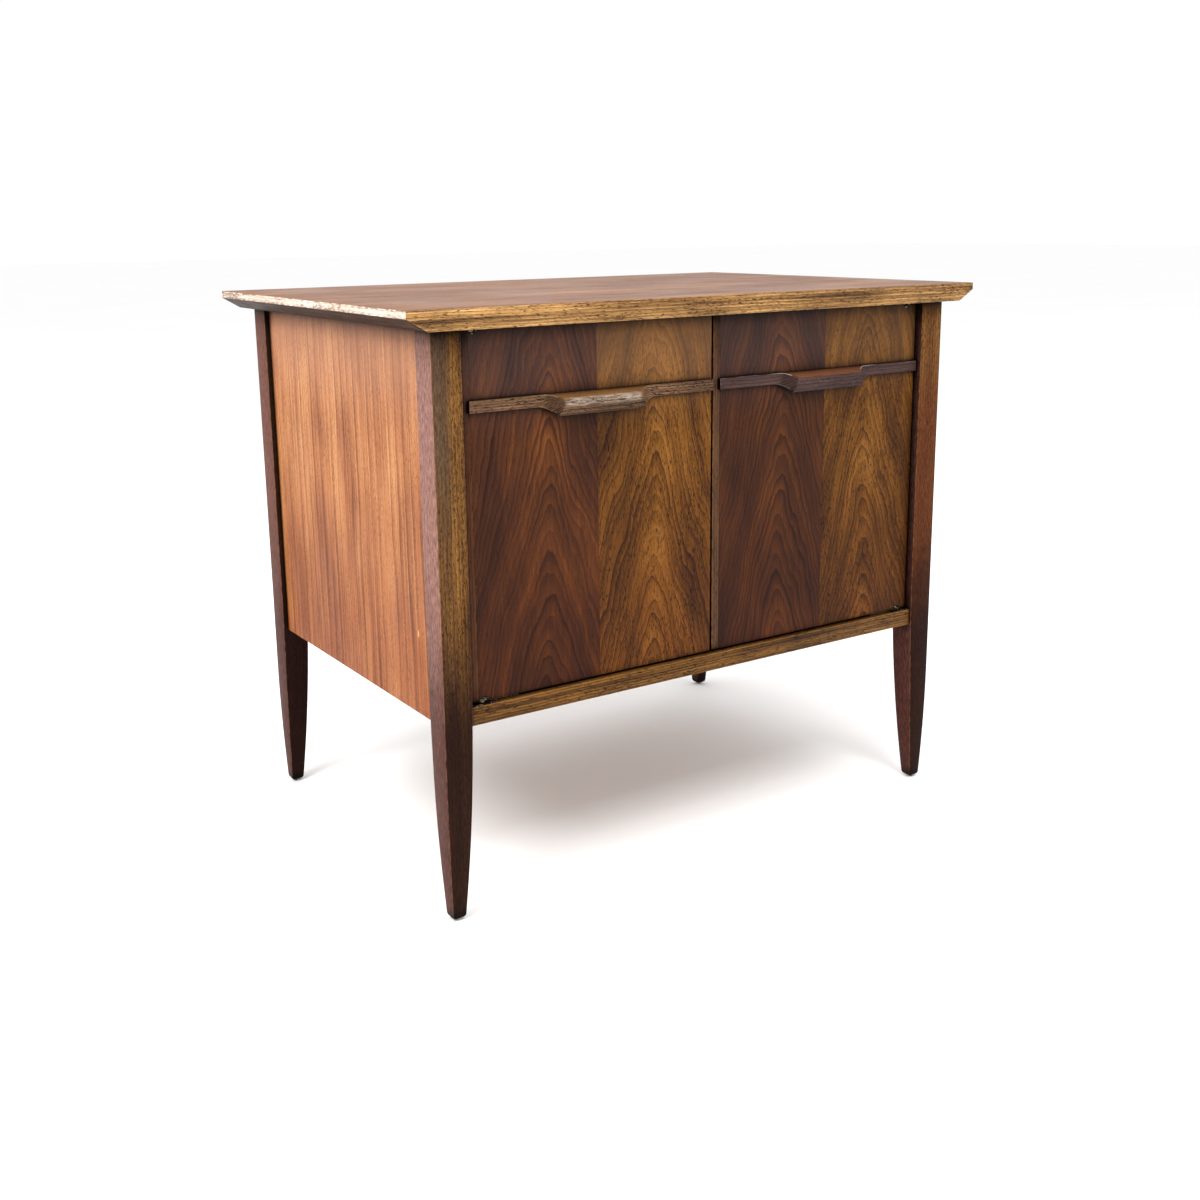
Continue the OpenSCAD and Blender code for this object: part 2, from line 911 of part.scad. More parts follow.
module pull(side) {
  difference() {
    translate([door_left(side) + pull_in, face_y, pull_z0]) pull_shape();
    pull_screw_set(side);
  }
}

module pull_left() {
  color(wood_gold) pull(-1);
}

module pull_right() {
  color(wood_dark) pull(1);
}

module pull_left_screws() {
  color(metal_steel) pull_screw_set(-1);
}

module pull_right_screws() {
  color(metal_steel) pull_screw_set(1);
}

top_panel();
top_front_lipping();
top_back_lipping();
top_left_lipping();
top_right_lipping();
leg_front_left();
leg_front_right();
leg_rear_left();
leg_rear_right();
foot_glides();
side_panel_left();
side_panel_right();
bottom_panel();
bottom_front_rail();
back_panel();
top_rail_front();
top_rail_back();
top_cleat_left();
top_cleat_right();
joint_dowels();
shelf_board();
shelf_front_lipping();
shelf_pins();
top_fixing_screws();
back_panel_screws();
frame_leaf_top_left();
frame_leaf_bottom_left();
frame_leaf_top_right();
frame_leaf_bottom_right();
frame_leaf_screws();
catch_left();
catch_right();
catch_screws();
door_left_panel();
door_left_strip();
door_left_edges();
door_left_veneer_dark();
door_left_veneer_gold();
pull_left();
pull_left_screws();
door_leaf_top_left();
door_leaf_bottom_left();
door_leaf_screws_left();
strike_left();
door_right_panel();
door_right_strip();
door_right_edges();
door_right_veneer_dark();
door_right_veneer_gold();
pull_right();
pull_right_screws();
door_leaf_top_right();
door_leaf_bottom_right();
door_leaf_screws_right();
strike_right();
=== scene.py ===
"""Two-door walnut sideboard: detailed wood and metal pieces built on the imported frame."""

import logging
import math
from collections.abc import Callable, Iterator, Sequence
from contextlib import contextmanager
from dataclasses import dataclass, field
from enum import Enum

import bmesh
import bpy
from mathutils import Matrix, Vector


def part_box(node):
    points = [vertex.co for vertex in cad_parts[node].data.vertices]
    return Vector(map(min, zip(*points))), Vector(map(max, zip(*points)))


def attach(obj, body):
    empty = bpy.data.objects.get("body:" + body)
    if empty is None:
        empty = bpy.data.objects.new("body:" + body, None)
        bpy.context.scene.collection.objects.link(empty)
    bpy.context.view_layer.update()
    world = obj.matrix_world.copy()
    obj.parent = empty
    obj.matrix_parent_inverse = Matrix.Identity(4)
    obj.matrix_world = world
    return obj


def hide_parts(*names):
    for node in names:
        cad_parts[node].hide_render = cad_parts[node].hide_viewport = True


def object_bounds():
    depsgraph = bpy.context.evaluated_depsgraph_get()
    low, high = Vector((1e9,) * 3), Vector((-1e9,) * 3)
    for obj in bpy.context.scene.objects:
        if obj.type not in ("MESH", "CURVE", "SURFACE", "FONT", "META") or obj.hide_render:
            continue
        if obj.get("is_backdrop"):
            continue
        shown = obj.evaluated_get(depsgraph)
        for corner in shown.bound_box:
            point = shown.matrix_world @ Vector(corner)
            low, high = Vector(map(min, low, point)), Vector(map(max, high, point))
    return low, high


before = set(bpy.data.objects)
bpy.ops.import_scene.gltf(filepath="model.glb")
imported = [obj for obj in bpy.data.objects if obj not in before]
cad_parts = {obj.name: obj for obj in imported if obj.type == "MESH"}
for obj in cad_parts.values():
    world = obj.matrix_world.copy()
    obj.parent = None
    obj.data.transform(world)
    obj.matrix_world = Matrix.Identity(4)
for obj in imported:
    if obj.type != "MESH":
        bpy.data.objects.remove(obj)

MM = 0.001
SHARP = math.radians(24.0)  # edges sharper than this stay crisp
LOG = logging.getLogger("sideboard")
Colour = tuple[float, float, float]
Stops = tuple[tuple[float, Colour], ...]
Test = Callable[[Vector], bool]


def srgb(red: float, green: float, blue: float) -> Colour:
    """Linear colour of a colour given as it is seen on a screen.

    Args:
        red: red from 0 to 255.
        green: green from 0 to 255.
        blue: blue from 0 to 255.

    Returns:
        The three linear values.
    """
    out = []
    for value in (red, green, blue):
        v = value / 255.0
        out.append(v / 12.92 if v <= 0.04045 else ((v + 0.055) / 1.055) ** 2.4)
    return (out[0], out[1], out[2])


def toned(colour: Colour, amount: float) -> Colour:
    """Colour made darker or lighter by a factor, with no part past 1."""
    return tuple(min(1.0, part * amount) for part in colour)


# ---------------------------------------------------------------- shader maths


def sign(operation: str, turned: bool = False) -> Callable[["Val", "Val | float"], "Val"]:
    """Arithmetic method that adds one Math node.

    Args:
        operation: the Math operation.
        turned: true where the method's own value comes second.

    Returns:
        The method.
    """

    def method(own: "Val", other: "Val | float") -> "Val":
        """Result of the operation on two values."""
        return own.graph.math(operation, *((other, own) if turned else (own, other)))

    return method


class Val:
    """A number on a shader socket; arithmetic on it adds Math nodes."""

    def __init__(self, graph: "Graph", socket: bpy.types.NodeSocket) -> None:
        """Keep the graph and the socket."""
        self.graph = graph
        self.socket = socket

    __add__ = __radd__ = sign("ADD")
    __sub__ = sign("SUBTRACT")
    __rsub__ = sign("SUBTRACT", turned=True)
    __mul__ = __rmul__ = sign("MULTIPLY")
    __truediv__ = sign("DIVIDE")
    __rtruediv__ = sign("DIVIDE", turned=True)
    __pow__ = sign("POWER")
    least = sign("MINIMUM")
    most = sign("MAXIMUM")

    def __abs__(self) -> "Val":
        """Size without its sign."""
        return self.graph.math("ABSOLUTE", self)

    def sqrt(self) -> "Val":
        """Square root."""
        return self.graph.math("SQRT", self)

    def step(self, low: float, high: float) -> "Val":
        """Smooth rise from 0 at low to 1 at high.

        Args:
            low: where the rise starts.
            high: where it ends; it may be the smaller one.

        Returns:
            The risen value, from 0 to 1.
        """
        flip = high < low
        node = self.graph.add(
            "ShaderNodeMapRange",
            {"interpolation_type": "SMOOTHSTEP"},
            {"Value": self, "From Min": min(low, high), "From Max": max(low, high)},
        )
        risen = Val(self.graph, node.outputs["Result"])
        return 1.0 - risen if flip else risen


class Tint:
    """A colour on a shader socket."""

    def __init__(self, graph: "Graph", socket: bpy.types.NodeSocket) -> None:
        """Keep the graph and the socket."""
        self.graph = graph
        self.socket = socket

    def mix(self, other: "Tint | Colour", amount: Val | float) -> "Tint":
        """Blend towards another colour, by an amount from 0 to 1."""
        return self.graph.blend("MIX", self, other, amount)

    def times(self, other: "Tint | Colour", amount: Val | float) -> "Tint":
        """Multiply by another colour, by an amount from 0 to 1."""
        return self.graph.blend("MULTIPLY", self, other, amount)


class Graph:
    """Node tree of one material, with the helpers that fill it."""

    def __init__(self, name: str) -> None:
        """Start an empty material.

        Args:
            name: the new material's name.
        """
        self.material = bpy.data.materials.new(name)
        self.material.use_nodes = True
        self.tree = self.material.node_tree
        self.tree.nodes.clear()

    def add(
        self, kind: str, settings: dict[str, object], inputs: dict[str | int, object]
    ) -> bpy.types.Node:
        """Add one node.

        Args:
            kind: the node type.
            settings: attributes set first; stops fills a ramp.
            inputs: values, or links given as Val, Tint or a socket.

        Returns:
            The new node.
        """
        node = self.tree.nodes.new(kind)
        for key, value in settings.items():
            if key == "stops":
                self._stops(node.color_ramp, value)
            else:
                setattr(node, key, value)
        for key, value in inputs.items():
            socket = node.inputs[key]
            if isinstance(value, (Val, Tint)):
                self.tree.links.new(value.socket, socket)
            elif isinstance(value, bpy.types.NodeSocket):
                self.tree.links.new(value, socket)
            elif isinstance(value, tuple) and socket.type == "RGBA":
                socket.default_value = (*value, 1.0)
            else:
                socket.default_value = value
        return node

    @staticmethod
    def _stops(ramp: bpy.types.ColorRamp, stops: Stops) -> None:
        """Fill a colour ramp.

        Args:
            ramp: the ramp.
            stops: places from 0 to 1 with their colours.
        """
        while len(ramp.elements) < len(stops):
            ramp.elements.new(0.5)
        for element, (place, colour) in zip(ramp.elements, stops):
            element.position = place
            element.color = (*colour, 1.0)

    def math(self, operation: str, *values: Val | float) -> Val:
        """Result of a new Math node with these inputs."""
        node = self.add("ShaderNodeMath", {"operation": operation}, dict(enumerate(values)))
        return Val(self, node.outputs[0])

    def blend(
        self, how: str, low: Tint | Colour, high: Tint | Colour, amount: Val | float
    ) -> Tint:
        """Mix two colours: the low one at amount 0 and the high one at 1."""
        node = self.add(
            "ShaderNodeMix",
            {"data_type": "RGBA", "blend_type": how, "clamp_factor": True},
            {0: amount, 6: low, 7: high},
        )
        return Tint(self, node.outputs[2])

    def ramp(self, value: Val, stops: Stops) -> Tint:
        """Colour from a value through a ramp of stops."""
        node = self.add("ShaderNodeValToRGB", {"stops": stops}, {"Fac": value})
        return Tint(self, node.outputs["Color"])

    def place(self) -> tuple[Val, Val, Val]:
        """Object coordinates in millimetres, one value for each axis."""
        where = self.add("ShaderNodeTexCoord", {}, {})
        scaled = self.add(
            "ShaderNodeVectorMath",
            {"operation": "SCALE"},
            {0: where.outputs["Object"], "Scale": 1000.0},
        )
        return self.split(scaled.outputs[0])

    def facing(self) -> tuple[Val, Val, Val]:
        """The surface's own direction, one value for each axis."""
        return self.split(self.add("ShaderNodeNewGeometry", {}, {}).outputs["True Normal"])

    def split(self, vector: bpy.types.NodeSocket) -> tuple[Val, Val, Val]:
        """The three values of a vector."""
        node = self.add("ShaderNodeSeparateXYZ", {}, {0: vector})
        return tuple(Val(self, node.outputs[k]) for k in range(3))

    def corner(self, reach: float) -> Val:
        """Openness within a reach in metres: 1 on open faces, less in corners and gaps."""
        node = self.add("ShaderNodeAmbientOcclusion", {"samples": 8}, {"Distance": reach})
        return Val(self, node.outputs["AO"])

    def noise(
        self, x: Val | float, y: Val | float, z: Val | float, detail: float = 3.0,
        rough: float = 0.55,
    ) -> Val:
        """Noise centred on 0.5 at a point.

        Args:
            x: first coordinate, in noise cells.
            y: second coordinate.
            z: third coordinate.
            detail: octaves.
            rough: weight of the finer octaves.

        Returns:
            The noise value.
        """
        point = self.add("ShaderNodeCombineXYZ", {}, {0: x, 1: y, 2: z})
        node = self.add(
            "ShaderNodeTexNoise",
            {"noise_dimensions": "3D"},
            {"Vector": point.outputs[0], "Scale": 1.0, "Detail": detail, "Roughness": rough},
        )
        return Val(self, node.outputs["Fac"])

    def surface(
        self,
        colour: Tint,
        rough: Val | float,
        height: Val | None = None,
        depth: float = 0.0,
        metal: float = 0.0,
        gloss: float = 0.3,
    ) -> bpy.types.Material:
        """Finish the material with one Principled shader.

        Args:
            colour: base colour.
            rough: roughness.
            height: bump height, from 0 to 1.
            depth: how deep the bump is, in metres.
            metal: metallic, 0 or 1.
            gloss: specular level.

        Returns:
            The finished material.
        """
        inputs: dict[str | int, object] = {
            "Base Color": colour,
            "Roughness": rough,
            "Metallic": metal,
            "Specular IOR Level": gloss,
        }
        if height is not None:
            bump = self.add(
                "ShaderNodeBump", {}, {"Height": height, "Distance": depth, "Strength": 1.0}
            )
            inputs["Normal"] = bump.outputs["Normal"]
        shader = self.add("ShaderNodeBsdfPrincipled", {}, inputs)
        self.add("ShaderNodeOutputMaterial", {}, {"Surface": shader.outputs[0]})
        return self.material


# ---------------------------------------------------------------- finishes


class Grain(Enum):
    """Direction that the grain of a board runs in."""

    WIDTH = 0
    DEPTH = 1
    HEIGHT = 2


class Figure(Enum):
    """Pattern that the saw or the knife leaves in a board."""

    STRIPE = "stripe"
    FLAME = "flame"


@dataclass(frozen=True)
class Walnut:
    """Oiled walnut, solid or veneer.

    The stops run from the darkest late wood to the lightest early wood.
    """

    name: str
    stops: Stops
    grain: Grain
    figure: Figure = Figure.STRIPE
    across: float = 0.0
    seed: float = 0.0
    ring: float = 5.0
    slope: float = 3.0
    round_off: float = 40.0
    drift: float = 4.0
    ripple: float = 0.02
    band: float = 0.7
    line: float = 0.5
    pore: float = 0.5
    pore_size: float = 1.1
    rough: float = 0.45
    relief: float = 0.00015
    gloss: float = 0.08
    # Arrises lightened as worn finish and as a painted highlight, and their colour.
    wear_and_highlight: float = 0.35
    wear_and_highlight_colour: Colour = srgb(176, 136, 92)
    streak: float = 0.02
    fibre: float = 0.45
    mottle: float = 0.5
    glow: float = 0.0
    # Painted shade in corners, painted shade towards the floor, and a painted sheen on the upper
    # parts with its colour.
    corner_shade: float = 0.95
    low: float = 1.0
    upper_sheen: float = 0.0
    upper_sheen_colour: Colour = srgb(92, 84, 88)

    def material(self) -> bpy.types.Material:
        """Build the wood's material."""
        graph = Graph(self.name)
        colour, height = self.wood(graph)
        colour = self.aged(graph, self.worn_and_highlit(graph, colour))
        return graph.surface(colour, self.polish(graph), height, self.relief, gloss=self.gloss)

    def axes(self, graph: Graph) -> tuple[Val, Val, Val]:
        """Place along the grain, across the face and into the board.

        Args:
            graph: the material's graph.

        Returns:
            The three places in millimetres.
        """
        x, y, z = graph.place()
        if self.grain is Grain.WIDTH:
            return x, z + y * 0.9, y
        if self.grain is Grain.DEPTH:
            return y, z + x * 0.9, x
        return z, x + y * 0.9, y

    def rings(self, graph: Graph, along: Val, over: Val) -> Val:
        """Value that is constant along each growth line, in ring widths.

        Args:
            graph: the material's graph.
            along: place along the grain.
            over: place across the face.

        Returns:
            The ring value.
        """
        slow = graph.noise(along * 0.005, over * 0.012, self.seed, 2.0) - 0.5
        if self.figure is Figure.FLAME:
            waver = graph.noise(along * 0.016, over * 0.045, self.seed + 7.0, 3.0) - 0.5
            off = over - self.across + slow * 44.0
            rise = ((off * self.slope) ** 2.0 + self.round_off**2).sqrt()
            front = (along + rise + waver * 34.0) / (self.ring * self.slope)
            pulse = graph.noise(front * 0.42, self.seed + 5.0, 0.0, 3.0, 0.6) - 0.5
            return front + pulse * 2.4
        quick = graph.noise(along * self.ripple, over * 0.05, self.seed + 9.0, 2.0) - 0.5
        return (over + slow * (self.drift * 2.0) + quick * self.drift) / self.ring

    def wood(self, graph: Graph) -> tuple[Tint, Val]:
        """Colour of the wood and the height of its pores.

        Args:
            graph: the material's graph.

        Returns:
            The colour and the bump height.
        """
        along, over, into = self.axes(graph)
        ring = self.rings(graph, along, over)
        count = graph.math("FLOOR", ring)
        phase = ring - count
        force = graph.noise(count * 0.73 + 0.5, self.seed, along * 0.004, 1.0)
        early = phase.step(0.0, 0.08) * (1.0 - phase * 0.9)
        broad = graph.noise(ring * 0.3, self.seed + 2.0, along * 0.002, 2.0)
        fibre = graph.noise(over * 0.34, into * 0.3, along * self.streak + self.seed, 4.0, 0.75)
        mottle = graph.noise(over * 0.016, into * 0.016, along * 0.007 + self.seed, 2.0)
        shade = (
            0.5
            + (early - 0.5) * (force * self.band * 0.5)
            + (broad - 0.5) * (0.9 * self.band)
            + (fibre - 0.5) * self.fibre
            + (mottle - 0.5) * self.mottle
        )
        if self.glow > 0.0:
            heart = abs(over - self.across).step(52.0, 4.0) * (1.0 - phase * 0.3)
            shade = shade + (heart - 0.35) * self.glow
        colour = graph.ramp(shade, self.stops)
        late = (phase.step(0.6, 0.97) ** 1.6 + phase.step(0.07, 0.0)) * force.step(0.4, 0.62)
        colour = colour.times((0.30, 0.24, 0.24), late * self.line)
        pores = self.pores(graph, along, over, into)
        colour = colour.times((0.16, 0.12, 0.11), pores * self.pore)
        return colour, 1.0 - pores * 0.8 - (1.0 - fibre) * 0.2

    def pores(self, graph: Graph, along: Val, over: Val, into: Val) -> Val:
        """Short open pores along the grain, 0 between them and 1 inside.

        Args:
            graph: the material's graph.
            along: place along the grain.
            over: place across the face.
            into: place into the board.

        Returns:
            How open the wood is.
        """
        fine = 1.0 / self.pore_size
        lean = over + along * 0.06
        short = graph.noise(lean * fine, into * fine * 0.5, along * (fine * 0.16) + self.seed, 1.0)
        crowd = graph.noise(over * 0.09, into * 0.05, along * 0.012 + self.seed, 2.0)
        return (short + (crowd - 0.5) * 0.3).step(0.55, 0.66)

    def worn_and_highlit(self, graph: Graph, colour: Tint) -> Tint:
        """Lighten the arrises: the finish worn by hands, with a painted highlight along the edges.

        Args:
            graph: the material's graph.
            colour: the unworn colour.

        Returns:
            The worn colour.
        """
        x, y, z = graph.place()
        nx, ny, nz = (abs(n) for n in graph.facing())
        # Worn finish and painted highlight on the arrises.
        arris = nx.most(ny).most(nz).step(0.965, 0.9)
        patch = graph.noise(x * 0.11, y * 0.11, z * 0.11 + self.seed, 3.0).step(0.38, 0.6)
        return colour.mix(self.wear_and_highlight_colour, arris * patch * self.wear_and_highlight)

    def aged(self, graph: Graph, colour: Tint) -> Tint:
        """Paint shade in the corners and on the lower parts, and paint light on the upper ones.

        Args:
            graph: the material's graph.
            colour: the colour before the painted light and shade.

        Returns:
            The colour with painted light and shade.
        """
        # Painted shade: corners and gaps darkened by how closed in they are.
        closed = (1.0 - graph.corner(0.03)).step(0.08, 0.54)
        height = graph.place()[2]
        # Painted shade: the lower parts darkened towards the floor.
        under = (self.low**1.1, self.low**1.9, self.low**2.8)
        colour = colour.times(under, height.step(560.0, 240.0))
        # Painted sheen: the upper parts mixed towards a paler colour, as light from above.
        colour = colour.mix(self.upper_sheen_colour, height.step(540.0, 660.0) * self.upper_sheen)
        return colour.times((0.03, 0.025, 0.025), closed * self.corner_shade)

    def polish(self, graph: Graph) -> Val:
        """Roughness of the worn oil."""
        x, y, z = graph.place()
        worn = graph.noise(x * 0.012, y * 0.012, z * 0.012 + self.seed, 3.0)
        return (worn - 0.5) * 0.24 + self.rough


@dataclass(frozen=True)
class LegWalnut(Walnut):
    """Leg stock: side faces purplish, feet dark, right legs redder; rear legs and inward faces
    darkened as painted shade.
    """

    side: Colour = (0.2, 0.1, 0.08)
    foot: Colour = (0.05, 0.02, 0.014)
    foot_side: Colour = (0.12, 0.05, 0.04)
    cool: Colour = (0.09, 0.07, 0.055)
    red: Colour = (0.1, 0.04, 0.02)
    foot_z: float = 250.0

    def wood(self, graph: Graph) -> tuple[Tint, Val]:
        """Colour with the darker feet and the plainer side faces.

        Args:
            graph: the material's graph.

        Returns:
            The colour and the bump height.
        """
        colour, height = Walnut.wood(self, graph)
        x, y, z = graph.place()
        cheek = abs(graph.facing()[0]).step(0.6, 0.8)
        speck = graph.noise(x * 0.6, y * 0.6, z * 0.09, 4.0, 0.75)
        tone = (speck - 0.5) * 2.3 + 0.5
        grit = graph.noise(x * 0.55, y * 0.55, z * 0.16, 3.0, 0.7).step(0.52, 0.6)
        colour = colour.times((0.42, 0.36, 0.34), grit * 0.75)
        colour = colour.mix(self.tone(graph, tone, self.side), cheek)
        outer = x.step(-354.0, -368.0) * (1.0 - cheek) * (z.step(420.0, 560.0) * 0.6 + 0.2)
        colour = colour.mix(self.tone(graph, tone, self.cool), outer)
        blur = (graph.noise(x * 0.05, y * 0.05, z * 0.012, 2.0) - 0.5) * 150.0
        # Painted shade: the rear legs darkened.
        colour = colour.times((0.53, 0.42, 0.37), y.step(120.0, 200.0))
        # Painted shade: faces turned in towards the cabinet darkened.
        inward = (x * graph.facing()[0]).step(-40.0, -200.0)
        colour = colour.times((0.3, 0.24, 0.22), inward)
        ruddy = x.step(100.0, 300.0) * (1.0 - cheek) * y.step(0.0, -100.0)
        ruddy = ruddy * (z.step(650.0, 500.0) * 0.75 + 0.25)
        colour = colour.mix(self.tone(graph, tone, self.red), ruddy * 0.8)
        low = (z + blur).step(self.foot_z + 170.0, self.foot_z - 40.0)
        foot = self.tone(graph, tone, self.foot).mix(
            self.tone(graph, tone, self.foot_side), cheek
        )
        colour = colour.mix(foot, low * 0.92)
        return colour.times((1.0, 0.84, 0.68), ruddy), height

    @staticmethod
    def tone(graph: Graph, value: Val, colour: Colour) -> Tint:
        """Speckled version of one colour.

        Args:
            graph: the material's graph.
            value: the speckle, centred on 0.5.
            colour: the middle colour.

        Returns:
            The speckled colour.
        """
        dark, light = toned(colour, 0.5), toned(colour, 1.55)
        return graph.ramp(value, ((0.25, dark), (0.5, colour), (0.78, light)))


@dataclass(frozen=True)
class PullWalnut(Walnut):
    """Pull stock: golden on top as painted light, scoops darkened as painted shade, the nose of
    the grip worn pale with a painted highlight, and cracked.
    """

    middle: float = 0.0
    face: float = -251.5
    half: float = 53.0
    top_z: float = 599.0
    # top: colour of the painted light on upward faces; nose: pale of the worn nose with its
    # painted highlight; scoop: strength of the painted shade in the scoops.
    top: Colour = (0.3, 0.16, 0.06)
    nose: Colour = (0.6, 0.5, 0.42)
    nose_rub_and_highlight: float = 0.9
    scoop: float = 0.9

    def wood(self, graph: Graph) -> tuple[Tint, Val]:
        """Colour with painted light on the top, painted shade in the scoops and the worn, highlit
        nose.

        Args:
            graph: the material's graph.

        Returns:
            The colour and the bump height.
        """
        colour, height = Walnut.wood(self, graph)
        x, y, z = graph.place()
        nx, ny, nz = graph.facing()
        fibre = graph.noise(x * 0.05, y * 0.8, z * 0.8, 3.0)
        # Painted light: upward faces made golden, as if lit from above.
        slope = nz.step(0.25, 0.6)
        colour = colour.mix(self.top, slope * (fibre * 0.8 + 0.2))
        # Painted shade: faces turned to the left, in the scoops, darkened.
        colour = colour.times((0.4, 0.36, 0.36), (nx * -1.0).step(0.08, 0.45) * self.scoop)
        # The nose: worn pale and painted as a highlight on its upper part.
        ends = abs(x - self.middle).step(self.half + 2.0, self.half - 6.0)
        out = (y * -1.0 + self.face).step(14.0, 16.5)
        front = (ny * -1.0).step(0.35, 0.75)
        patch = graph.noise(x * 0.05, y * 0.3, z * 0.3 + self.seed, 3.0).step(0.38, 0.5)
        high = (z - self.top_z).step(-16.5, -11.0)
        nose = ends * out * front * patch * high
        streak = graph.noise(x * 0.09, y * 0.9, z * 0.9 + self.seed, 4.0)
        dull, bright = toned(self.nose, 0.3), toned(self.nose, 1.5)
        pale = graph.ramp(streak, ((0.3, dull), (0.46, self.nose), (0.62, bright)))
        colour = colour.mix(pale, nose * self.nose_rub_and_highlight)
        crack = abs(graph.noise(x * 0.055, y * 0.1, z * 0.22 + self.seed, 2.0) - 0.5)
        return colour.times((0.16, 0.12, 0.12), crack.step(0.016, 0.006) * nose), height


@dataclass(frozen=True)
class ArrisWalnut(Walnut):
    """Rounded edges of a pull, worn pale and painted with highlights along the scoops and here and
    there.
    """

    middle: float = 0.0
    half: float = 53.0
    top_z: float = 599.0
    pale: Colour = (0.3, 0.28, 0.27)
    strength: float = 0.9

    def wood(self, graph: Graph) -> tuple[Tint, Val]:
        """Colour with the pale lines of worn finish and painted highlight.

        Args:
            graph: the material's graph.

        Returns:
            The colour and the bump height.
        """
        colour, height = Walnut.wood(self, graph)
        x, y, z = graph.place()
        away = abs(x - self.middle)
        scoop = away.step(self.half - 3.0, self.half + 1.0)
        scoop = scoop * away.step(self.half + 44.0, self.half + 20.0)
        upper = (z - self.top_z).step(-9.5, -7.0)
        patch = graph.noise(x * 0.045, y * 0.1, z * 0.1 + self.seed, 3.0).step(0.46, 0.6)
        # Worn finish and painted highlight along the scoop edges and in patches.
        rub_and_highlight = (scoop * 0.9 + patch * 0.3).least(1.0) * (upper * 0.92 + 0.08)
        return colour.mix(self.pale, rub_and_highlight * self.strength), height


@dataclass(frozen=True)
class SideWalnut(Walnut):
    """Side veneer, nicked here and there, and shaded under the overhang of the top."""

    nick: Colour = srgb(238, 186, 132)

    def wood(self, graph: Graph) -> tuple[Tint, Val]:
        """Colour with the pale nicks and the shade under the top.

        Args:
            graph: the material's graph.

        Returns:
            The colour and the bump height.
        """
        colour, height = Walnut.wood(self, graph)
        _, y, z = graph.place()
        bump = graph.noise(y * 0.07, z * 0.035, self.seed + 3.0, 1.0).step(0.79, 0.82)
        colour = colour.mix(self.nick, bump * 0.8)
        return colour.times((0.62, 0.54, 0.5), z.step(648.0, 678.0)), height


@dataclass(frozen=True)
class NibWalnut(Walnut):
    """Worn end faces of the top: pale, with brown specks, most at the rear and right."""

    speck: Colour = srgb(104, 72, 46)
    middle_z: float = 695.5

    def wood(self, graph: Graph) -> tuple[Tint, Val]:
        """Pale colour with specks of the old finish.

        Args:
            graph: the material's graph.

        Returns:
            The colour and the bump height.
        """
        colour, height = Walnut.wood(self, graph)
        x, y, z = graph.place()
        grit = graph.noise(x * 0.5, y * 0.11, z * 0.6, 4.0, 0.75)
        patch = graph.noise(x * 0.02, y * 0.012, z * 0.1 + self.seed, 3.0)
        rim = abs(z - self.middle_z).step(1.5, 4.5)
        kept = y.step(-20.0, 240.0) * 0.05 + x.step(-100.0, 100.0) * 0.13
        left = (grit + (patch - 0.5) * 0.5 + rim * 0.1 + kept).step(0.52, 0.62)
        return colour.mix(self.speck, left * 0.8), height


@dataclass(frozen=True)
class TopWalnut(Walnut):
    """Top veneer with soft pale streaks and small worn marks."""

    mark: Colour = srgb(222, 200, 176)

    def wood(self, graph: Graph) -> tuple[Tint, Val]:
        """Colour with faint pale marks.

        Args:
            graph: the material's graph.

        Returns:
            The colour and the bump height.
        """
        colour, height = Walnut.wood(self, graph)
        x, y, _ = graph.place()
        soft = graph.noise(x * 0.004, y * 0.012, self.seed, 3.0).step(0.45, 0.68)
        spot = graph.noise(x * 0.03, y * 0.16, self.seed + 4.0, 4.0, 0.7).step(0.66, 0.74)
        return colour.mix(self.mark, soft * 0.06 + spot * 0.16), height


@dataclass(frozen=True)
class Metal:
    """Aged hinge or screw metal."""

    name: str
    light: Colour
    dark: Colour
    rough: float = 0.35

    def material(self) -> bpy.types.Material:
        """Build the metal's material."""
        graph = Graph(self.name)
        x, y, z = graph.place()
        stain = graph.noise(x * 0.35, y * 0.35, z * 0.35, 4.0)
        scratch = graph.noise(x * 0.3, y * 4.0, z * 4.0, 2.0)
        shade = stain * 0.7 + scratch * 0.3
        colour = graph.ramp(shade, ((0.36, self.dark), (0.6, self.light)))
        rough = (stain - 0.5) * 0.5 + self.rough
        return graph.surface(colour, rough, scratch, 0.00004, metal=1.0, gloss=0.5)


@dataclass(frozen=True)
class HingeMetal(Metal):
    """Hinge metal gone dark, worn bright on its edges, with painted glints."""

    def material(self) -> bpy.types.Material:
        """Build the metal's material."""
        graph = Graph(self.name)
        x, y, z = graph.place()
        nx, ny, nz = (abs(n) for n in graph.facing())
        edge = nx.most(ny).most(nz).step(0.97, 0.85)
        spot = graph.noise(x * 0.28, y * 0.28, z * 0.6, 3.0, 0.6)
        # Painted glints: bright spots, and bright edges that are worn metal and painted glint
        # together.
        bright = (spot.step(0.57, 0.64) * 0.7 + edge * spot.step(0.5, 0.6)).least(1.0)
        colour = graph.ramp(bright, ((0.0, self.dark), (1.0, self.light)))
        return graph.surface(colour, 0.46 - bright * 0.18, spot, 0.0001, metal=1.0, gloss=0.5)


@dataclass(frozen=True)
class Moulding:
    """Plain moulded plastic of the catches."""

    name: str
    colour: Colour

    def material(self) -> bpy.types.Material:
        """Build the plastic's material."""
        graph = Graph(self.name)
        x, y, z = graph.place()
        speck = graph.noise(x * 1.3, y * 1.3, z * 1.3, 3.0)
        colour = graph.ramp(speck, ((0.35, toned(self.colour, 0.7)), (0.65, self.colour)))
        return graph.surface(colour, speck * 0.2 + 0.4, speck, 0.00005, gloss=0.4)


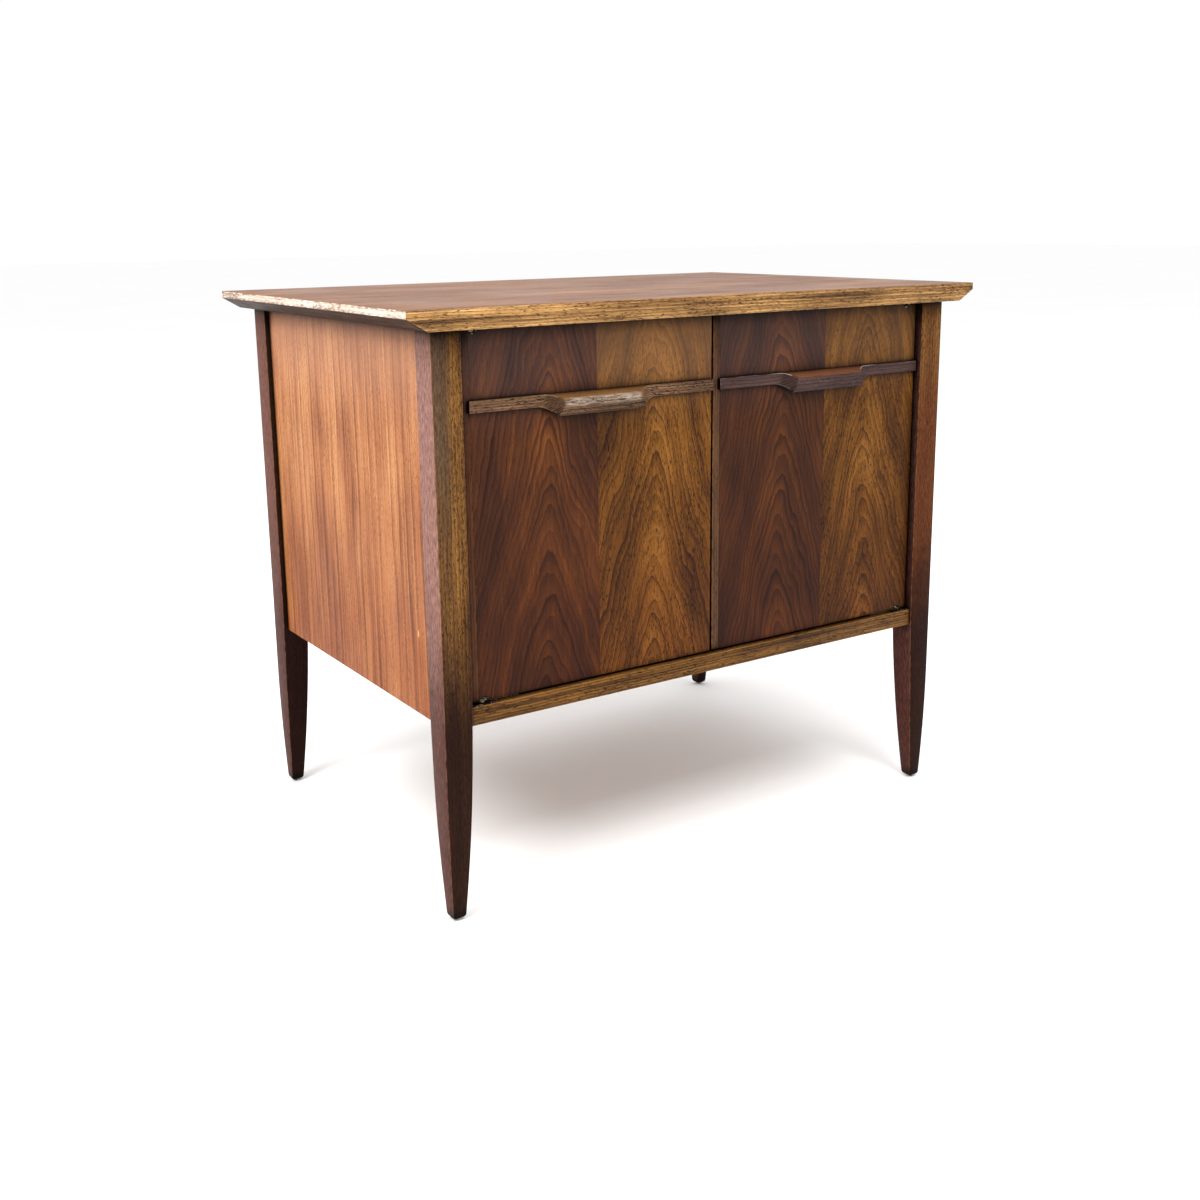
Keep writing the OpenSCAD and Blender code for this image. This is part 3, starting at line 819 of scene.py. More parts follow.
@dataclass(frozen=True)
class Ground:
    """Matt white studio floor."""

    name: str = "studio_floor"
    colour: Colour = (0.97, 0.97, 0.97)

    def material(self) -> bpy.types.Material:
        """Build the floor's material."""
        graph = Graph(self.name)
        x, y, _ = graph.place()
        cloud = graph.noise(x * 0.001, y * 0.001, 0.0, 2.0)
        colour = graph.ramp(cloud, ((0.3, toned(self.colour, 0.985)), (0.7, self.colour)))
        return graph.surface(colour, 0.9, gloss=0.05)


EVEN = (0.2, 0.42, 0.6, 0.82)
LATE = (0.2, 0.45, 0.62, 0.85)
WORN = (0.2, 0.42, 0.62, 0.85)


def palette(*tones: Colour, places: tuple[float, ...] = EVEN) -> Stops:
    """Stops of a wood, from late to early wood, from its tones as seen on a screen."""
    return tuple((place, srgb(*tone)) for place, tone in zip(places, tones))


GOLD_STOPS = palette((70, 48, 30), (123, 89, 52), (168, 126, 76), (208, 166, 109))
RAIL_STOPS = palette((49, 31, 15), (84, 55, 24), (111, 74, 31), (143, 99, 46))
DARK_FLAME = palette((47, 24, 14), (63, 33, 18), (78, 42, 19), (101, 56, 24))
GOLD_FLAME = palette((64, 35, 13), (86, 51, 16), (107, 66, 21), (131, 85, 34))
SIDE_STOPS = palette((116, 66, 38), (152, 93, 56), (174, 114, 71), (193, 138, 92))
TOP_STOPS = palette((70, 42, 17), (98, 57, 27), (120, 73, 36), (140, 93, 50))
LEG_STOPS = palette((59, 39, 21), (91, 61, 33), (119, 82, 41), (156, 112, 58))
STRIP_STOPS = palette((46, 29, 20), (73, 48, 32), (92, 62, 39), (117, 82, 52), places=LATE)
BEVEL_STOPS = palette((32, 21, 15), (50, 36, 29), (65, 48, 39), (89, 67, 53), places=LATE)
WORN_STOPS = palette(
    (157, 125, 101), (202, 181, 163), (219, 205, 193), (229, 222, 219), places=WORN
)
PULL_LIGHT = palette((49, 34, 24), (75, 53, 37), (95, 69, 48), (125, 95, 70))
PULL_DARK = palette((33, 23, 23), (53, 38, 36), (67, 49, 46), (88, 66, 60))
INNER_STOPS = palette((90, 62, 41), (119, 86, 58), (139, 104, 73), (157, 125, 92), places=LATE)


# ---------------------------------------------------------------- modelling


class Bench:
    """Modelling moves shared by every sub-assembly."""

    @staticmethod
    def clear() -> None:
        """Leave nothing selected."""
        bpy.ops.object.select_all(action="DESELECT")

    @staticmethod
    def take(piece: bpy.types.Object) -> None:
        """Select one piece alone and make it the active one."""
        Bench.clear()
        piece.select_set(True)
        bpy.context.view_layer.objects.active = piece

    @staticmethod
    def block(name: str, low: Sequence[float], high: Sequence[float]) -> bpy.types.Object:
        """Cube stretched between two corners, with its place in its mesh.

        Args:
            name: the piece's name.
            low: lowest corner, in metres.
            high: highest corner, in metres.

        Returns:
            The new object.
        """
        Bench.clear()
        middle = [(a + b) / 2 for a, b in zip(low, high)]
        bpy.ops.mesh.primitive_cube_add(size=1.0, location=middle)
        piece = bpy.context.object
        piece.name = name
        piece.data.name = name
        piece.scale = [b - a for a, b in zip(low, high)]
        bpy.ops.object.transform_apply(location=True, rotation=True, scale=True)
        return piece

    @staticmethod
    def eased(
        name: str, low: Sequence[float], high: Sequence[float], width: float
    ) -> bpy.types.Object:
        """Block between two corners with its edges rounded by a width in metres."""
        piece = Bench.block(name, low, high)
        Bench.ease(piece, width)
        return piece

    @staticmethod
    @contextmanager
    def shaping(piece: bpy.types.Object) -> Iterator[None]:
        """Edit mode on one piece with nothing selected."""
        Bench.take(piece)
        bpy.ops.object.mode_set(mode="EDIT")
        bpy.ops.mesh.select_mode(type="VERT")
        bpy.ops.mesh.select_all(action="DESELECT")
        yield
        bpy.ops.object.mode_set(mode="OBJECT")

    @staticmethod
    def pick_points(piece: bpy.types.Object, test: Test) -> None:
        """Select the vertices whose place passes a test; edit mode.

        Args:
            piece: the piece being shaped.
            test: true for a place that is wanted.
        """
        bpy.ops.mesh.select_all(action="DESELECT")
        bpy.ops.mesh.select_mode(type="VERT")
        shape = bmesh.from_edit_mesh(piece.data)
        for vert in shape.verts:
            if test(vert.co):
                vert.select_set(True)
        shape.select_flush_mode()
        bmesh.update_edit_mesh(piece.data)

    @staticmethod
    def bevel_edges(piece: bpy.types.Object, test: Test, width: float, steps: int) -> None:
        """Round the edges whose middle passes a test.

        Args:
            piece: the piece.
            test: true for an edge's middle that is wanted.
            width: width of the rounding, in metres.
            steps: segments of the rounding.
        """
        with Bench.shaping(piece):
            bpy.ops.mesh.select_mode(type="EDGE")
            shape = bmesh.from_edit_mesh(piece.data)
            for edge in shape.edges:
                if test((edge.verts[0].co + edge.verts[1].co) / 2):
                    edge.select_set(True)
            bmesh.update_edit_mesh(piece.data)
            bpy.ops.mesh.bevel(offset=width, segments=steps, affect="EDGES")

    @staticmethod
    def cut(point: Sequence[float], normal: Sequence[float], trim: bool = False) -> None:
        """Cut the piece being shaped with a plane, and trim what is past it if asked."""
        bpy.ops.mesh.select_all(action="SELECT")
        bpy.ops.mesh.bisect(
            plane_co=point, plane_no=normal, use_fill=trim, clear_outer=trim, threshold=1e-7
        )

    @staticmethod
    def ease(
        piece: bpy.types.Object, width: float, steps: int = 2, angle: float = 30.0,
        slot: int = -1,
    ) -> None:
        """Round every sharp edge with an applied bevel.

        Args:
            piece: the piece.
            width: width of the rounding, in metres.
            steps: segments of the rounding.
            angle: edges sharper than this are rounded, in degrees.
            slot: material slot of the new faces; -1 keeps their neighbours' one.
        """
        Bench.take(piece)
        bevel = piece.modifiers.new("ease", "BEVEL")
        bevel.width = width
        bevel.segments = steps
        bevel.limit_method = "ANGLE"
        bevel.angle_limit = math.radians(angle)
        bevel.material = slot
        bpy.ops.object.modifier_apply(modifier=bevel.name)
        Bench.smooth(piece)

    @staticmethod
    def smooth(piece: bpy.types.Object) -> None:
        """Shade a piece smooth except across its sharp edges."""
        Bench.take(piece)
        bpy.ops.object.shade_smooth_by_angle(angle=SHARP)

    @staticmethod
    def twin(piece: bpy.types.Object, name: str, flip: tuple[bool, bool]) -> bpy.types.Object:
        """Copy of a piece with its own mesh, mirrored in X or Y or both.

        Args:
            piece: the piece to copy.
            name: the copy's name.
            flip: whether to mirror in X and in Y.

        Returns:
            The copy.
        """
        Bench.take(piece)
        bpy.ops.object.duplicate(linked=False)
        copy = bpy.context.object
        copy.name = name
        copy.data.name = name
        copy.scale = (-1.0 if flip[0] else 1.0, -1.0 if flip[1] else 1.0, 1.0)
        bpy.ops.object.transform_apply(location=True, rotation=True, scale=True)
        with Bench.shaping(copy):
            bpy.ops.mesh.select_all(action="SELECT")
            bpy.ops.mesh.normals_make_consistent(inside=False)
        return copy

    @staticmethod
    def dress(
        piece: bpy.types.Object, base: bpy.types.Material,
        *others: tuple[bpy.types.Material, Callable[[Vector, Vector], bool]],
    ) -> None:
        """Give a new piece its materials, face by face.

        Args:
            piece: the piece.
            base: the material of every face that no test takes.
            others: a material and the test of a face's middle and normal that it goes on.
        """
        piece.data.materials.clear()
        piece.data.materials.append(base)
        for index, (material, test) in enumerate(others, start=1):
            piece.data.materials.append(material)
            for face in piece.data.polygons:
                if test(face.center, face.normal):
                    face.material_index = index

    @staticmethod
    def coat(node: str, material: bpy.types.Material) -> None:
        """Put a material on every slot of a frame node.

        Args:
            node: the node's name.
            material: the material.
        """
        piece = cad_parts[node]
        if not piece.material_slots:
            piece.data.materials.append(material)
        for slot in piece.material_slots:
            slot.material = material

    @staticmethod
    def fit(piece: bpy.types.Object, body: str, slot: str, *nodes: str) -> None:
        """Finish a new piece: its body and the nodes it stands for.

        Args:
            piece: the piece.
            body: the body it rides on.
            slot: the record's material slot; not used.
            nodes: the frame nodes it replaces.
        """
        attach(piece, body)
        if nodes:
            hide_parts(*nodes)
        LOG.info("piece %s on %s for %s", piece.name, body, ", ".join(nodes) or "nothing")


# ---------------------------------------------------------------- sub-assemblies


@dataclass
class TopSlab:
    """Veneered top with solid front and back edges and bevelled ends."""

    ease: float = 0.9 * MM
    front_lip: float = 12.0 * MM
    near: float = 0.01 * MM
    clear: float = 0.1 * MM
    veneer: Walnut = TopWalnut("top_veneer", TOP_STOPS, Grain.WIDTH, ring=12.0, drift=7.0,
                               seed=2.0, line=0.35, pore=0.3, mottle=0.35, band=1.0,
                               ripple=0.006, rough=0.4, gloss=0.13, wear_and_highlight=0.0, streak=0.003,
                               fibre=0.9)
    edge: Walnut = Walnut("top_edge_walnut", GOLD_STOPS, Grain.WIDTH, ring=3.6, drift=2.0,
                          seed=5.0, line=0.5, pore=0.85, pore_size=0.85, streak=0.008,
                          fibre=1.2, mottle=0.4, wear_and_highlight_colour=srgb(214, 184, 140))
    bevel: Walnut = Walnut("top_bevel_walnut", BEVEL_STOPS, Grain.DEPTH, ring=3.0, drift=1.5,
                           seed=8.0, pore=0.7, pore_size=0.8, mottle=0.6, fibre=1.6,
                           streak=0.012, wear_and_highlight=0.0, gloss=0.03)
    worn: Walnut = NibWalnut("top_worn_edge", WORN_STOPS, Grain.DEPTH, ring=4.0, drift=2.0,
                             seed=11.0, line=0.15, pore=0.15, rough=0.6, wear_and_highlight=0.0)

    def build(self) -> None:
        """Model the lippings and dress them and the panel."""
        veneer = self.veneer.material()
        edge = self.edge.material()
        bevel = self.bevel.material()
        worn = self.worn.material()
        Bench.coat("top_panel", veneer)
        low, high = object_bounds()
        for node in ("top_front_lipping", "top_back_lipping", "top_left_lipping",
                     "top_right_lipping"):
            piece = self.lipping(node, low, high)
            Bench.dress(
                piece,
                edge,
                (veneer, lambda c, n: n.z > 0.8),
                (bevel, lambda c, n: abs(n.x) > 0.2 and n.z < -0.2),
                (worn, lambda c, n: abs(n.x) > 0.5 and abs(n.z) < 0.5 and abs(n.y) < 0.5),
            )
            Bench.fit(piece, "cabinet", "edge_walnut", node)

    def lipping(self, node: str, low: Vector, high: Vector) -> bpy.types.Object:
        """One solid edge of the top, cut to the bevel at its ends.

        Args:
            node: the frame node it stands for.
            low: lowest corner of the whole cabinet.
            high: highest corner of the whole cabinet.

        Returns:
            The lipping.
        """
        box_low, box_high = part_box(node)
        piece = Bench.block(node + "_worn", box_low, box_high)
        nib, run = Parts.nib_height, Parts.bevel_run
        rise = box_high[2] - box_low[2] - nib
        with Bench.shaping(piece):
            for side, end, own in ((-1, low[0], box_low[0]), (1, high[0], box_high[0])):
                if abs(own - end) < self.near:
                    corner = (end, 0.0, box_high[2] - nib)
                    Bench.cut(corner, (side * rise, 0.0, -run), trim=True)
        joint = high[1] - self.front_lip
        inner = high[0] - run - self.clear
        Bench.bevel_edges(
            piece,
            lambda mid: abs(abs(mid.y) - joint) > self.clear
            and (abs(mid.y) > joint or abs(mid.x) > inner),
            self.ease,
            2,
        )
        Bench.smooth(piece)
        return piece


class Parts:
    """Sizes shared by the sub-assemblies, in metres."""

    nib_height = 9.0 * MM
    bevel_run = 24.0 * MM
    bow_out_from = 157.0 * MM
    bow_out = 4.2 * MM
    bow_in_from = 295.0 * MM
    bow_in = 16.0 * MM
    bow_lead = 24.0 * MM


@dataclass
class Legs:
    """Four square legs that bow in to small feet."""

    ease: float = 1.3 * MM
    foot_ease: float = 5.0 * MM
    levels: int = 16
    near: float = 0.001 * MM
    wood: LegWalnut = LegWalnut("leg_walnut", LEG_STOPS, Grain.HEIGHT, ring=4.5, drift=3.0,
                                seed=17.0, line=0.45, pore=0.75, pore_size=0.9, wear_and_highlight=0.22,
                                gloss=0.04, side=srgb(130, 94, 85), foot=srgb(26, 10, 9),
                                foot_side=srgb(72, 42, 37), cool=srgb(72, 56, 44),
                                red=srgb(80, 46, 30), low=0.93)

    @staticmethod
    def inset(height: float, start: float, amount: float) -> float:
        """How far a bowed face has come in at a height.

        Args:
            height: height above the floor.
            start: height where the bow starts.
            amount: inset at the floor.

        Returns:
            The inset in metres.
        """
        if height >= start:
            return 0.0
        lead = Parts.bow_lead
        radius = (start * start + 2.0 * start * lead) / (2.0 * amount)
        deep = start + lead - height
        return math.sqrt(radius**2 - lead**2) - math.sqrt(radius**2 - deep**2)

    def build(self) -> None:
        """Model the front left leg and copy it to the other corners."""
        wood = self.wood.material()
        first = self.shape("leg_front_left")
        legs = {"leg_front_left": first}
        for end, side in (("front", "right"), ("rear", "left"), ("rear", "right")):
            node = f"leg_{end}_{side}"
            legs[node] = Bench.twin(first, node + "_bowed", (side == "right", end == "rear"))
        for node, piece in legs.items():
            Bench.dress(piece, wood)
            Bench.fit(piece, "cabinet", "leg_walnut", node)

    def shape(self, node: str) -> bpy.types.Object:
        """Model one leg at the front left corner.

        Args:
            node: the frame node it stands for.

        Returns:
            The leg.
        """
        low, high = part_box(node)
        piece = Bench.block(node + "_bowed", low, high)
        stock = high[0] - low[0]
        top = Parts.bow_in_from
        heights = [low[2] + (top - low[2]) * k / self.levels for k in range(self.levels + 1)]
        with Bench.shaping(piece):
            for height in heights[1:]:
                Bench.cut((0.0, 0.0, height), (0.0, 0.0, 1.0))
            for height in heights[:-1]:
                self.draw_in(piece, height, low, stock)
        Bench.bevel_edges(piece, lambda mid: abs(mid.z - low[2]) < self.near, self.foot_ease, 3)
        Bench.ease(piece, self.ease, 3, 40.0)
        return piece

    def draw_in(
        self, piece: bpy.types.Object, height: float, low: Sequence[float], stock: float
    ) -> None:
        """Scale and move one level of the leg to its bowed section; edit mode.

        Args:
            piece: the leg.
            height: the level.
            low: lowest corner of the stock.
            stock: side of the stock.
        """
        out = self.inset(height, Parts.bow_out_from, Parts.bow_out)
        into = self.inset(height, Parts.bow_in_from, Parts.bow_in)
        Bench.pick_points(piece, lambda co: abs(co.z - height) < self.near)
        ratio = (stock - out - into) / stock
        corner = (low[0], low[1], height)
        bpy.ops.transform.resize(value=(ratio, ratio, 1.0), center_override=corner)
        bpy.ops.transform.translate(value=(out, out, 0.0))


@dataclass
class CasePanels:
    """Side panels, bottom, back, rails, cleats and shelf."""

    side: Walnut = SideWalnut("side_veneer", SIDE_STOPS, Grain.HEIGHT, ring=17.0, drift=7.0,
                              seed=23.0, band=0.6, line=0.4, pore=0.55, pore_size=0.8,
                              wear_and_highlight=0.0, streak=0.0022, fibre=1.35, mottle=0.7, low=0.74,
                              upper_sheen=0.25, ripple=0.006, upper_sheen_colour=srgb(206, 160, 134))
    rail: Walnut = Walnut("rail_walnut", RAIL_STOPS, Grain.WIDTH, ring=3.4, drift=2.0,
                          seed=29.0, line=0.85, pore=0.8, band=1.0, fibre=1.0,
                          streak=0.006, wear_and_highlight_colour=srgb(150, 108, 66))
    inner: Walnut = Walnut("inner_board", INNER_STOPS, Grain.WIDTH, ring=9.0, drift=12.0,
                           seed=31.0, line=0.2, pore=0.2, rough=0.6, wear_and_highlight=0.0)
    back: Walnut = Walnut("back_board", INNER_STOPS, Grain.HEIGHT, ring=11.0, drift=16.0,
                          seed=37.0, line=0.2, pore=0.2, rough=0.7, wear_and_highlight=0.0)
    ease: float = 0.8 * MM

    def build(self) -> None:
        """Dress the panels and model the front rail."""
        side = self.side.material()
        inner = self.inner.material()
        back = self.back.material()
        rail = self.rail.material()
        inner_nodes = ("bottom_panel", "top_rail_front", "top_rail_back", "top_cleat_left",
                       "top_cleat_right", "joint_dowels", "shelf_board")
        for material, nodes in (
            (side, ("side_panel_left", "side_panel_right")),
            (inner, inner_nodes),
            (back, ("back_panel",)),
        ):
            for node in nodes:
                Bench.coat(node, material)
        for node in ("bottom_front_rail", "shelf_front_lipping"):
            piece = Bench.eased(node + "_eased", *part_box(node), self.ease)
            Bench.dress(piece, rail)
            Bench.fit(piece, "cabinet", "edge_walnut", node)


@dataclass
class Door:
    """One door: flame veneer, solid strip and lippings."""

    side: str
    ease: float = 0.7 * MM
    shade: float = 0.86
    dark: Walnut = field(init=False)
    gold: Walnut = field(init=False)

    def __post_init__(self) -> None:
        """Centre the flames on this door's own veneer sheets."""
        seeds = {"left": (41.0, 47.0), "right": (53.0, 59.0)}[self.side]
        self.dark = self.flame("dark", DARK_FLAME, seeds[0], 0.59)
        self.gold = self.flame("gold", GOLD_FLAME, seeds[1], 0.48)

    def flame(
        self, half: str, stops: Stops, seed: float, share: float
    ) -> Walnut:
        """Finish of one veneer sheet.

        Args:
            half: dark or gold.
            stops: the colours.
            seed: picks the sheet's own figure.
            share: place of the flames across the sheet, from 0 to 1.

        Returns:
            The finish.
        """
        if self.side == "right":
            stops = tuple((place, toned(tone, self.shade)) for place, tone in stops)
        gold = half == "gold"
        low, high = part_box(f"door_{self.side}_veneer_{half}")
        middle = (low[0] + (high[0] - low[0]) * share + 0.9 * low[1]) / MM
        return Walnut(f"veneer_{half}_{self.side}", stops, Grain.HEIGHT, Figure.FLAME,
                      across=middle, seed=seed, ring=6.6, slope=3.8, round_off=58.0, band=0.95,
                      line=0.62 if gold else 0.48, pore=0.85 if gold else 0.3,
                      pore_size=1.0, rough=0.42, fibre=0.55, mottle=0.75, wear_and_highlight=0.0,
                      low=0.78, glow=0.2 if gold else 0.15,
                      upper_sheen=0.3 if gold and self.side == "left" else 0.16,
                      upper_sheen_colour=srgb(150, 112, 80) if gold else srgb(92, 84, 88))

    def build(self, strip: bpy.types.Material, inner: bpy.types.Material) -> None:
        """Dress the veneers and model the strip.

        Args:
            strip: material of the solid strip and the thin lippings.
            inner: material of the core board.
        """
        name = f"door_{self.side}"
        Bench.coat(f"{name}_veneer_dark", self.dark.material())
        Bench.coat(f"{name}_veneer_gold", self.gold.material())
        Bench.coat(f"{name}_panel", inner)
        Bench.coat(f"{name}_edges", strip)
        piece = Bench.eased(f"{name}_strip_eased", *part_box(f"{name}_strip"), self.ease)
        Bench.dress(piece, strip)
        Bench.fit(piece, f"{self.side}_door", "strip_walnut", f"{name}_strip")


# Points of the bar's section, as shares of its projection and height, and where each
# one goes in the grip: millimetres out from the door and down from the top.
GRIP_PROFILE: tuple[tuple[float, float, float, float], ...] = (
    (0.3, 0.0, 6.0, 0.6),
    (0.6, 0.0, 11.5, 2.6),
    (0.85, 0.0, 15.5, 4.6),
    (1.0, 0.0, 16.9, 6.0),
    (1.0, 0.12, 17.6, 7.8),
    (1.0, 0.4, 18.0, 11.5),
    (1.0, 0.66, 17.9, 16.0),
    (1.0, 0.86, 17.2, 20.2),
    (1.0, 1.0, 16.2, 22.4),
    (0.85, 1.0, 14.9, 23.8),
    (0.6, 1.0, 12.6, 24.5),
    (0.3, 1.0, 7.0, 16.0),
)


@dataclass
class Pull:
    """Full-width pull with a scooped finger grip."""

    side: str
    wood: Walnut
    arris: Walnut
    bar_h: float = 13.5 * MM
    bar_p: float = 5.0 * MM
    flat: float = 106.0 * MM
    scoop: float = 18.0 * MM
    lean: float = 4.5 * MM
    flare: float = 5.5 * MM
    sweep: float = 1.8
    cuts: int = 20
    ease: float = 0.55 * MM
    near: float = 0.002 * MM

    def build(self) -> None:
        """Model the pull and put it on its door."""
        node = f"pull_{self.side}"
        low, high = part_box(node)
        face, top = high[1], high[2]
        piece = Bench.block(
            node + "_carved", (low[0], face - self.bar_p, top - self.bar_h), (high[0], face, top)
        )
        middle = (low[0] + high[0]) / 2
        places = self.stations(middle)
        with Bench.shaping(piece):
            for x in places:
                Bench.cut((x, 0.0, 0.0), (1.0, 0.0, 0.0))
            for share in sorted({z for _, z, _, _ in GRIP_PROFILE} - {0.0, 1.0}):
                Bench.cut((0.0, 0.0, top - self.bar_h * share), (0.0, 0.0, 1.0))
            for share in sorted({y for y, _, _, _ in GRIP_PROFILE} - {0.0, 1.0}):
                Bench.cut((0.0, face - self.bar_p * share, 0.0), (0.0, 1.0, 0.0))
            for x in places:
                self.carve(piece, x, abs(x - middle), face, top)
        piece.data.materials.append(self.wood.material())
        piece.data.materials.append(self.arris.material())
        Bench.ease(piece, self.ease, angle=33.0, slot=1)
        slot = "pull_light" if self.side == "left" else "pull_dark"
        Bench.fit(piece, f"{self.side}_door", slot, node)

    def stations(self, middle: float) -> list[float]:
        """Places along the pull where its section changes.

        Args:
            middle: place of the middle of the grip.

        Returns:
            The places, left to right.
        """
        half = self.flat / 2
        reach = self.scoop + self.lean + self.flare
        steps = [half * k / 4 for k in range(5)]
        steps += [half + reach * k / self.cuts for k in range(1, self.cuts + 1)]
        return sorted({round(middle + s * d, 7) for d in steps for s in (-1, 1)})

    def swell(self, away: float, share: float) -> float:
        """How much of the grip's shape a point has at a distance from the middle.

        Args:
            away: distance from the middle of the grip.
            share: height of the point, 0 at the top of the bar and 1 at its bottom.

        Returns:
            The share of the grip's shape, from 0 to 1.
        """
        end = self.flat / 2 + self.lean * share
        run = (end + self.scoop + self.flare * share - away) / (self.scoop + self.flare * share)
        return min(1.0, max(0.0, run)) ** self.sweep

    def carve(
        self, piece: bpy.types.Object, x: float, away: float, face: float, top: float
    ) -> None:
        """Move one section of the bar to the grip's profile; edit mode.

        Args:
            piece: the pull.
            x: place of the section.
            away: its distance from the middle of the grip.
            face: place of the door face.
            top: height of the top of the pull.
        """
        for share_y, share_z, to_y, to_z in GRIP_PROFILE:
            weight = self.swell(away, share_z)
            if weight < 1e-6:
                continue
            y = face - self.bar_p * share_y
            z = top - self.bar_h * share_z
            own = (x, y, z)
            Bench.pick_points(
                piece, lambda co: all(abs(a - b) < self.near for a, b in zip(co, own))
            )
            move = ((face - to_y * MM) - y, (top - to_z * MM) - z)
            bpy.ops.transform.translate(value=(0.0, move[0] * weight, move[1] * weight))


@dataclass
class HingeKnuckles:
    """Barrels and seat plates at the door corners, round the pins of the leaves."""

    reach: float = 2.2 * MM
    plate: float = 1.0 * MM
    seat_ease: float = 0.3 * MM
    barrel_ease: float = 0.4 * MM
    dome: float = 0.8 * MM
    dome_share: float = 0.34
    gap: float = 0.4 * MM
    sink: float = 0.1 * MM
    ahead: float = 4.0 * MM
    run: float = 2.6
    metal: HingeMetal = HingeMetal("hinge_metal", srgb(168, 162, 152), srgb(20, 16, 15), 0.4)

    def build(self) -> None:
        """Model a barrel and a seat plate at each corner."""
        metal = self.metal.material()
        for side in ("left", "right"):
            for end in ("top", "bottom"):
                barrel = self.barrel(side, end)
                Bench.dress(barrel, metal)
                Bench.fit(barrel, f"{side}_door", "brass")
                seat = self.seat(side, end)
                Bench.dress(seat, metal)
                Bench.fit(seat, "cabinet", "brass")

    def barrel(self, side: str, end: str) -> bpy.types.Object:
        """Domed barrel over the pin, let into the corner of the door.

        Args:
            side: left or right.
            end: top or bottom.

        Returns:
            The barrel.
        """
        low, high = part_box(f"door_leaf_{end}_{side}")
        radius = (high[1] - low[1]) / 2
        x = low[0] + radius if side == "left" else high[0] - radius
        into = 1.0 if end == "bottom" else -1.0
        start = low[2] if end == "bottom" else high[2]
        depth = high[2] - low[2] + self.reach
        Bench.clear()
        bpy.ops.mesh.primitive_cylinder_add(
            vertices=32, radius=radius, depth=depth,
            location=(x, low[1] + radius, start + into * depth / 2),
        )
        piece = bpy.context.object
        piece.name = f"hinge_barrel_{end}_{side}"
        piece.data.name = piece.name
        bpy.ops.object.transform_apply(location=True, rotation=True, scale=True)
        tip = start + into * depth
        with Bench.shaping(piece):
            Bench.pick_points(piece, lambda co: abs(co.z - tip) < 1e-6)
            bpy.ops.mesh.select_mode(type="FACE")
            bpy.ops.mesh.inset(thickness=radius * self.dome_share)
            bpy.ops.transform.translate(value=(0.0, 0.0, into * self.dome))
        Bench.ease(piece, self.barrel_ease, angle=40.0)
        return piece

    def seat(self, side: str, end: str) -> bpy.types.Object:
        """Thin dark plate on the rail, or under the top, beside the leg, which also stands in for
        the shadow in the hinge notch.

        Args:
            side: left or right.
            end: top or bottom.

        Returns:
            The plate.
        """
        low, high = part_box(f"frame_leaf_{end}_{side}")
        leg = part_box(f"leg_front_{side}")
        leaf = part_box(f"door_leaf_{end}_{side}")
        radius = (leaf[1][1] - leaf[0][1]) / 2
        if side == "left":
            across = (leg[1][0] + self.gap, low[0] + self.run * radius)
        else:
            across = (high[0] - self.run * radius, leg[0][0] - self.gap)
        if end == "bottom":
            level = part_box("bottom_front_rail")[1][2]
            up = (level - self.sink, level + self.plate)
        else:
            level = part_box("top_panel")[0][2]
            up = (level - self.plate, level + self.sink)
        # The dark plate also stands in for painted shade in the hinge notch.
        return Bench.eased(
            f"hinge_seat_{end}_{side}",
            (across[0], low[1] - self.ahead, up[0]),
            (across[1], low[1] + 2.0 * radius, up[1]),
            self.seat_ease,
        )


@dataclass
class Hardware:
    """Hinge leaves, screws, pins, catches, strikes and glides."""

    brass: Metal = Metal("aged_brass", srgb(128, 108, 80), srgb(36, 29, 24), 0.38)
    steel: Metal = Metal("plated_steel", srgb(190, 186, 180), srgb(104, 100, 96), 0.34)
    plastic: Moulding = Moulding("catch_plastic", srgb(70, 46, 34))

    def build(self) -> None:
        """Dress every metal and plastic node."""
        brass = self.brass.material()
        steel = self.steel.material()
        plastic = self.plastic.material()
        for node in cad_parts:
            if "leaf" in node or node == "shelf_pins":
                Bench.coat(node, brass)
            elif "screws" in node or node in ("foot_glides", "strike_left", "strike_right"):
                Bench.coat(node, steel)
            elif node in ("catch_left", "catch_right"):
                Bench.coat(node, plastic)


# ---------------------------------------------------------------- studio


@dataclass(frozen=True)
class Lamp:
    """Soft square light aimed at a point; its size in metres and its power in watts."""

    name: str
    place: tuple[float, float, float]
    target: tuple[float, float, float]
    size: float
    power: float

    def hang(self) -> None:
        """Add the light at its place."""
        Bench.clear()
        bpy.ops.object.light_add(type="AREA", location=self.place)
        lamp = bpy.context.object
        lamp.name = self.name
        lamp.data.size = self.size
        lamp.data.energy = self.power
        aim = Vector(self.target) - Vector(self.place)
        lamp.rotation_euler = aim.to_track_quat("-Z", "Y").to_euler()


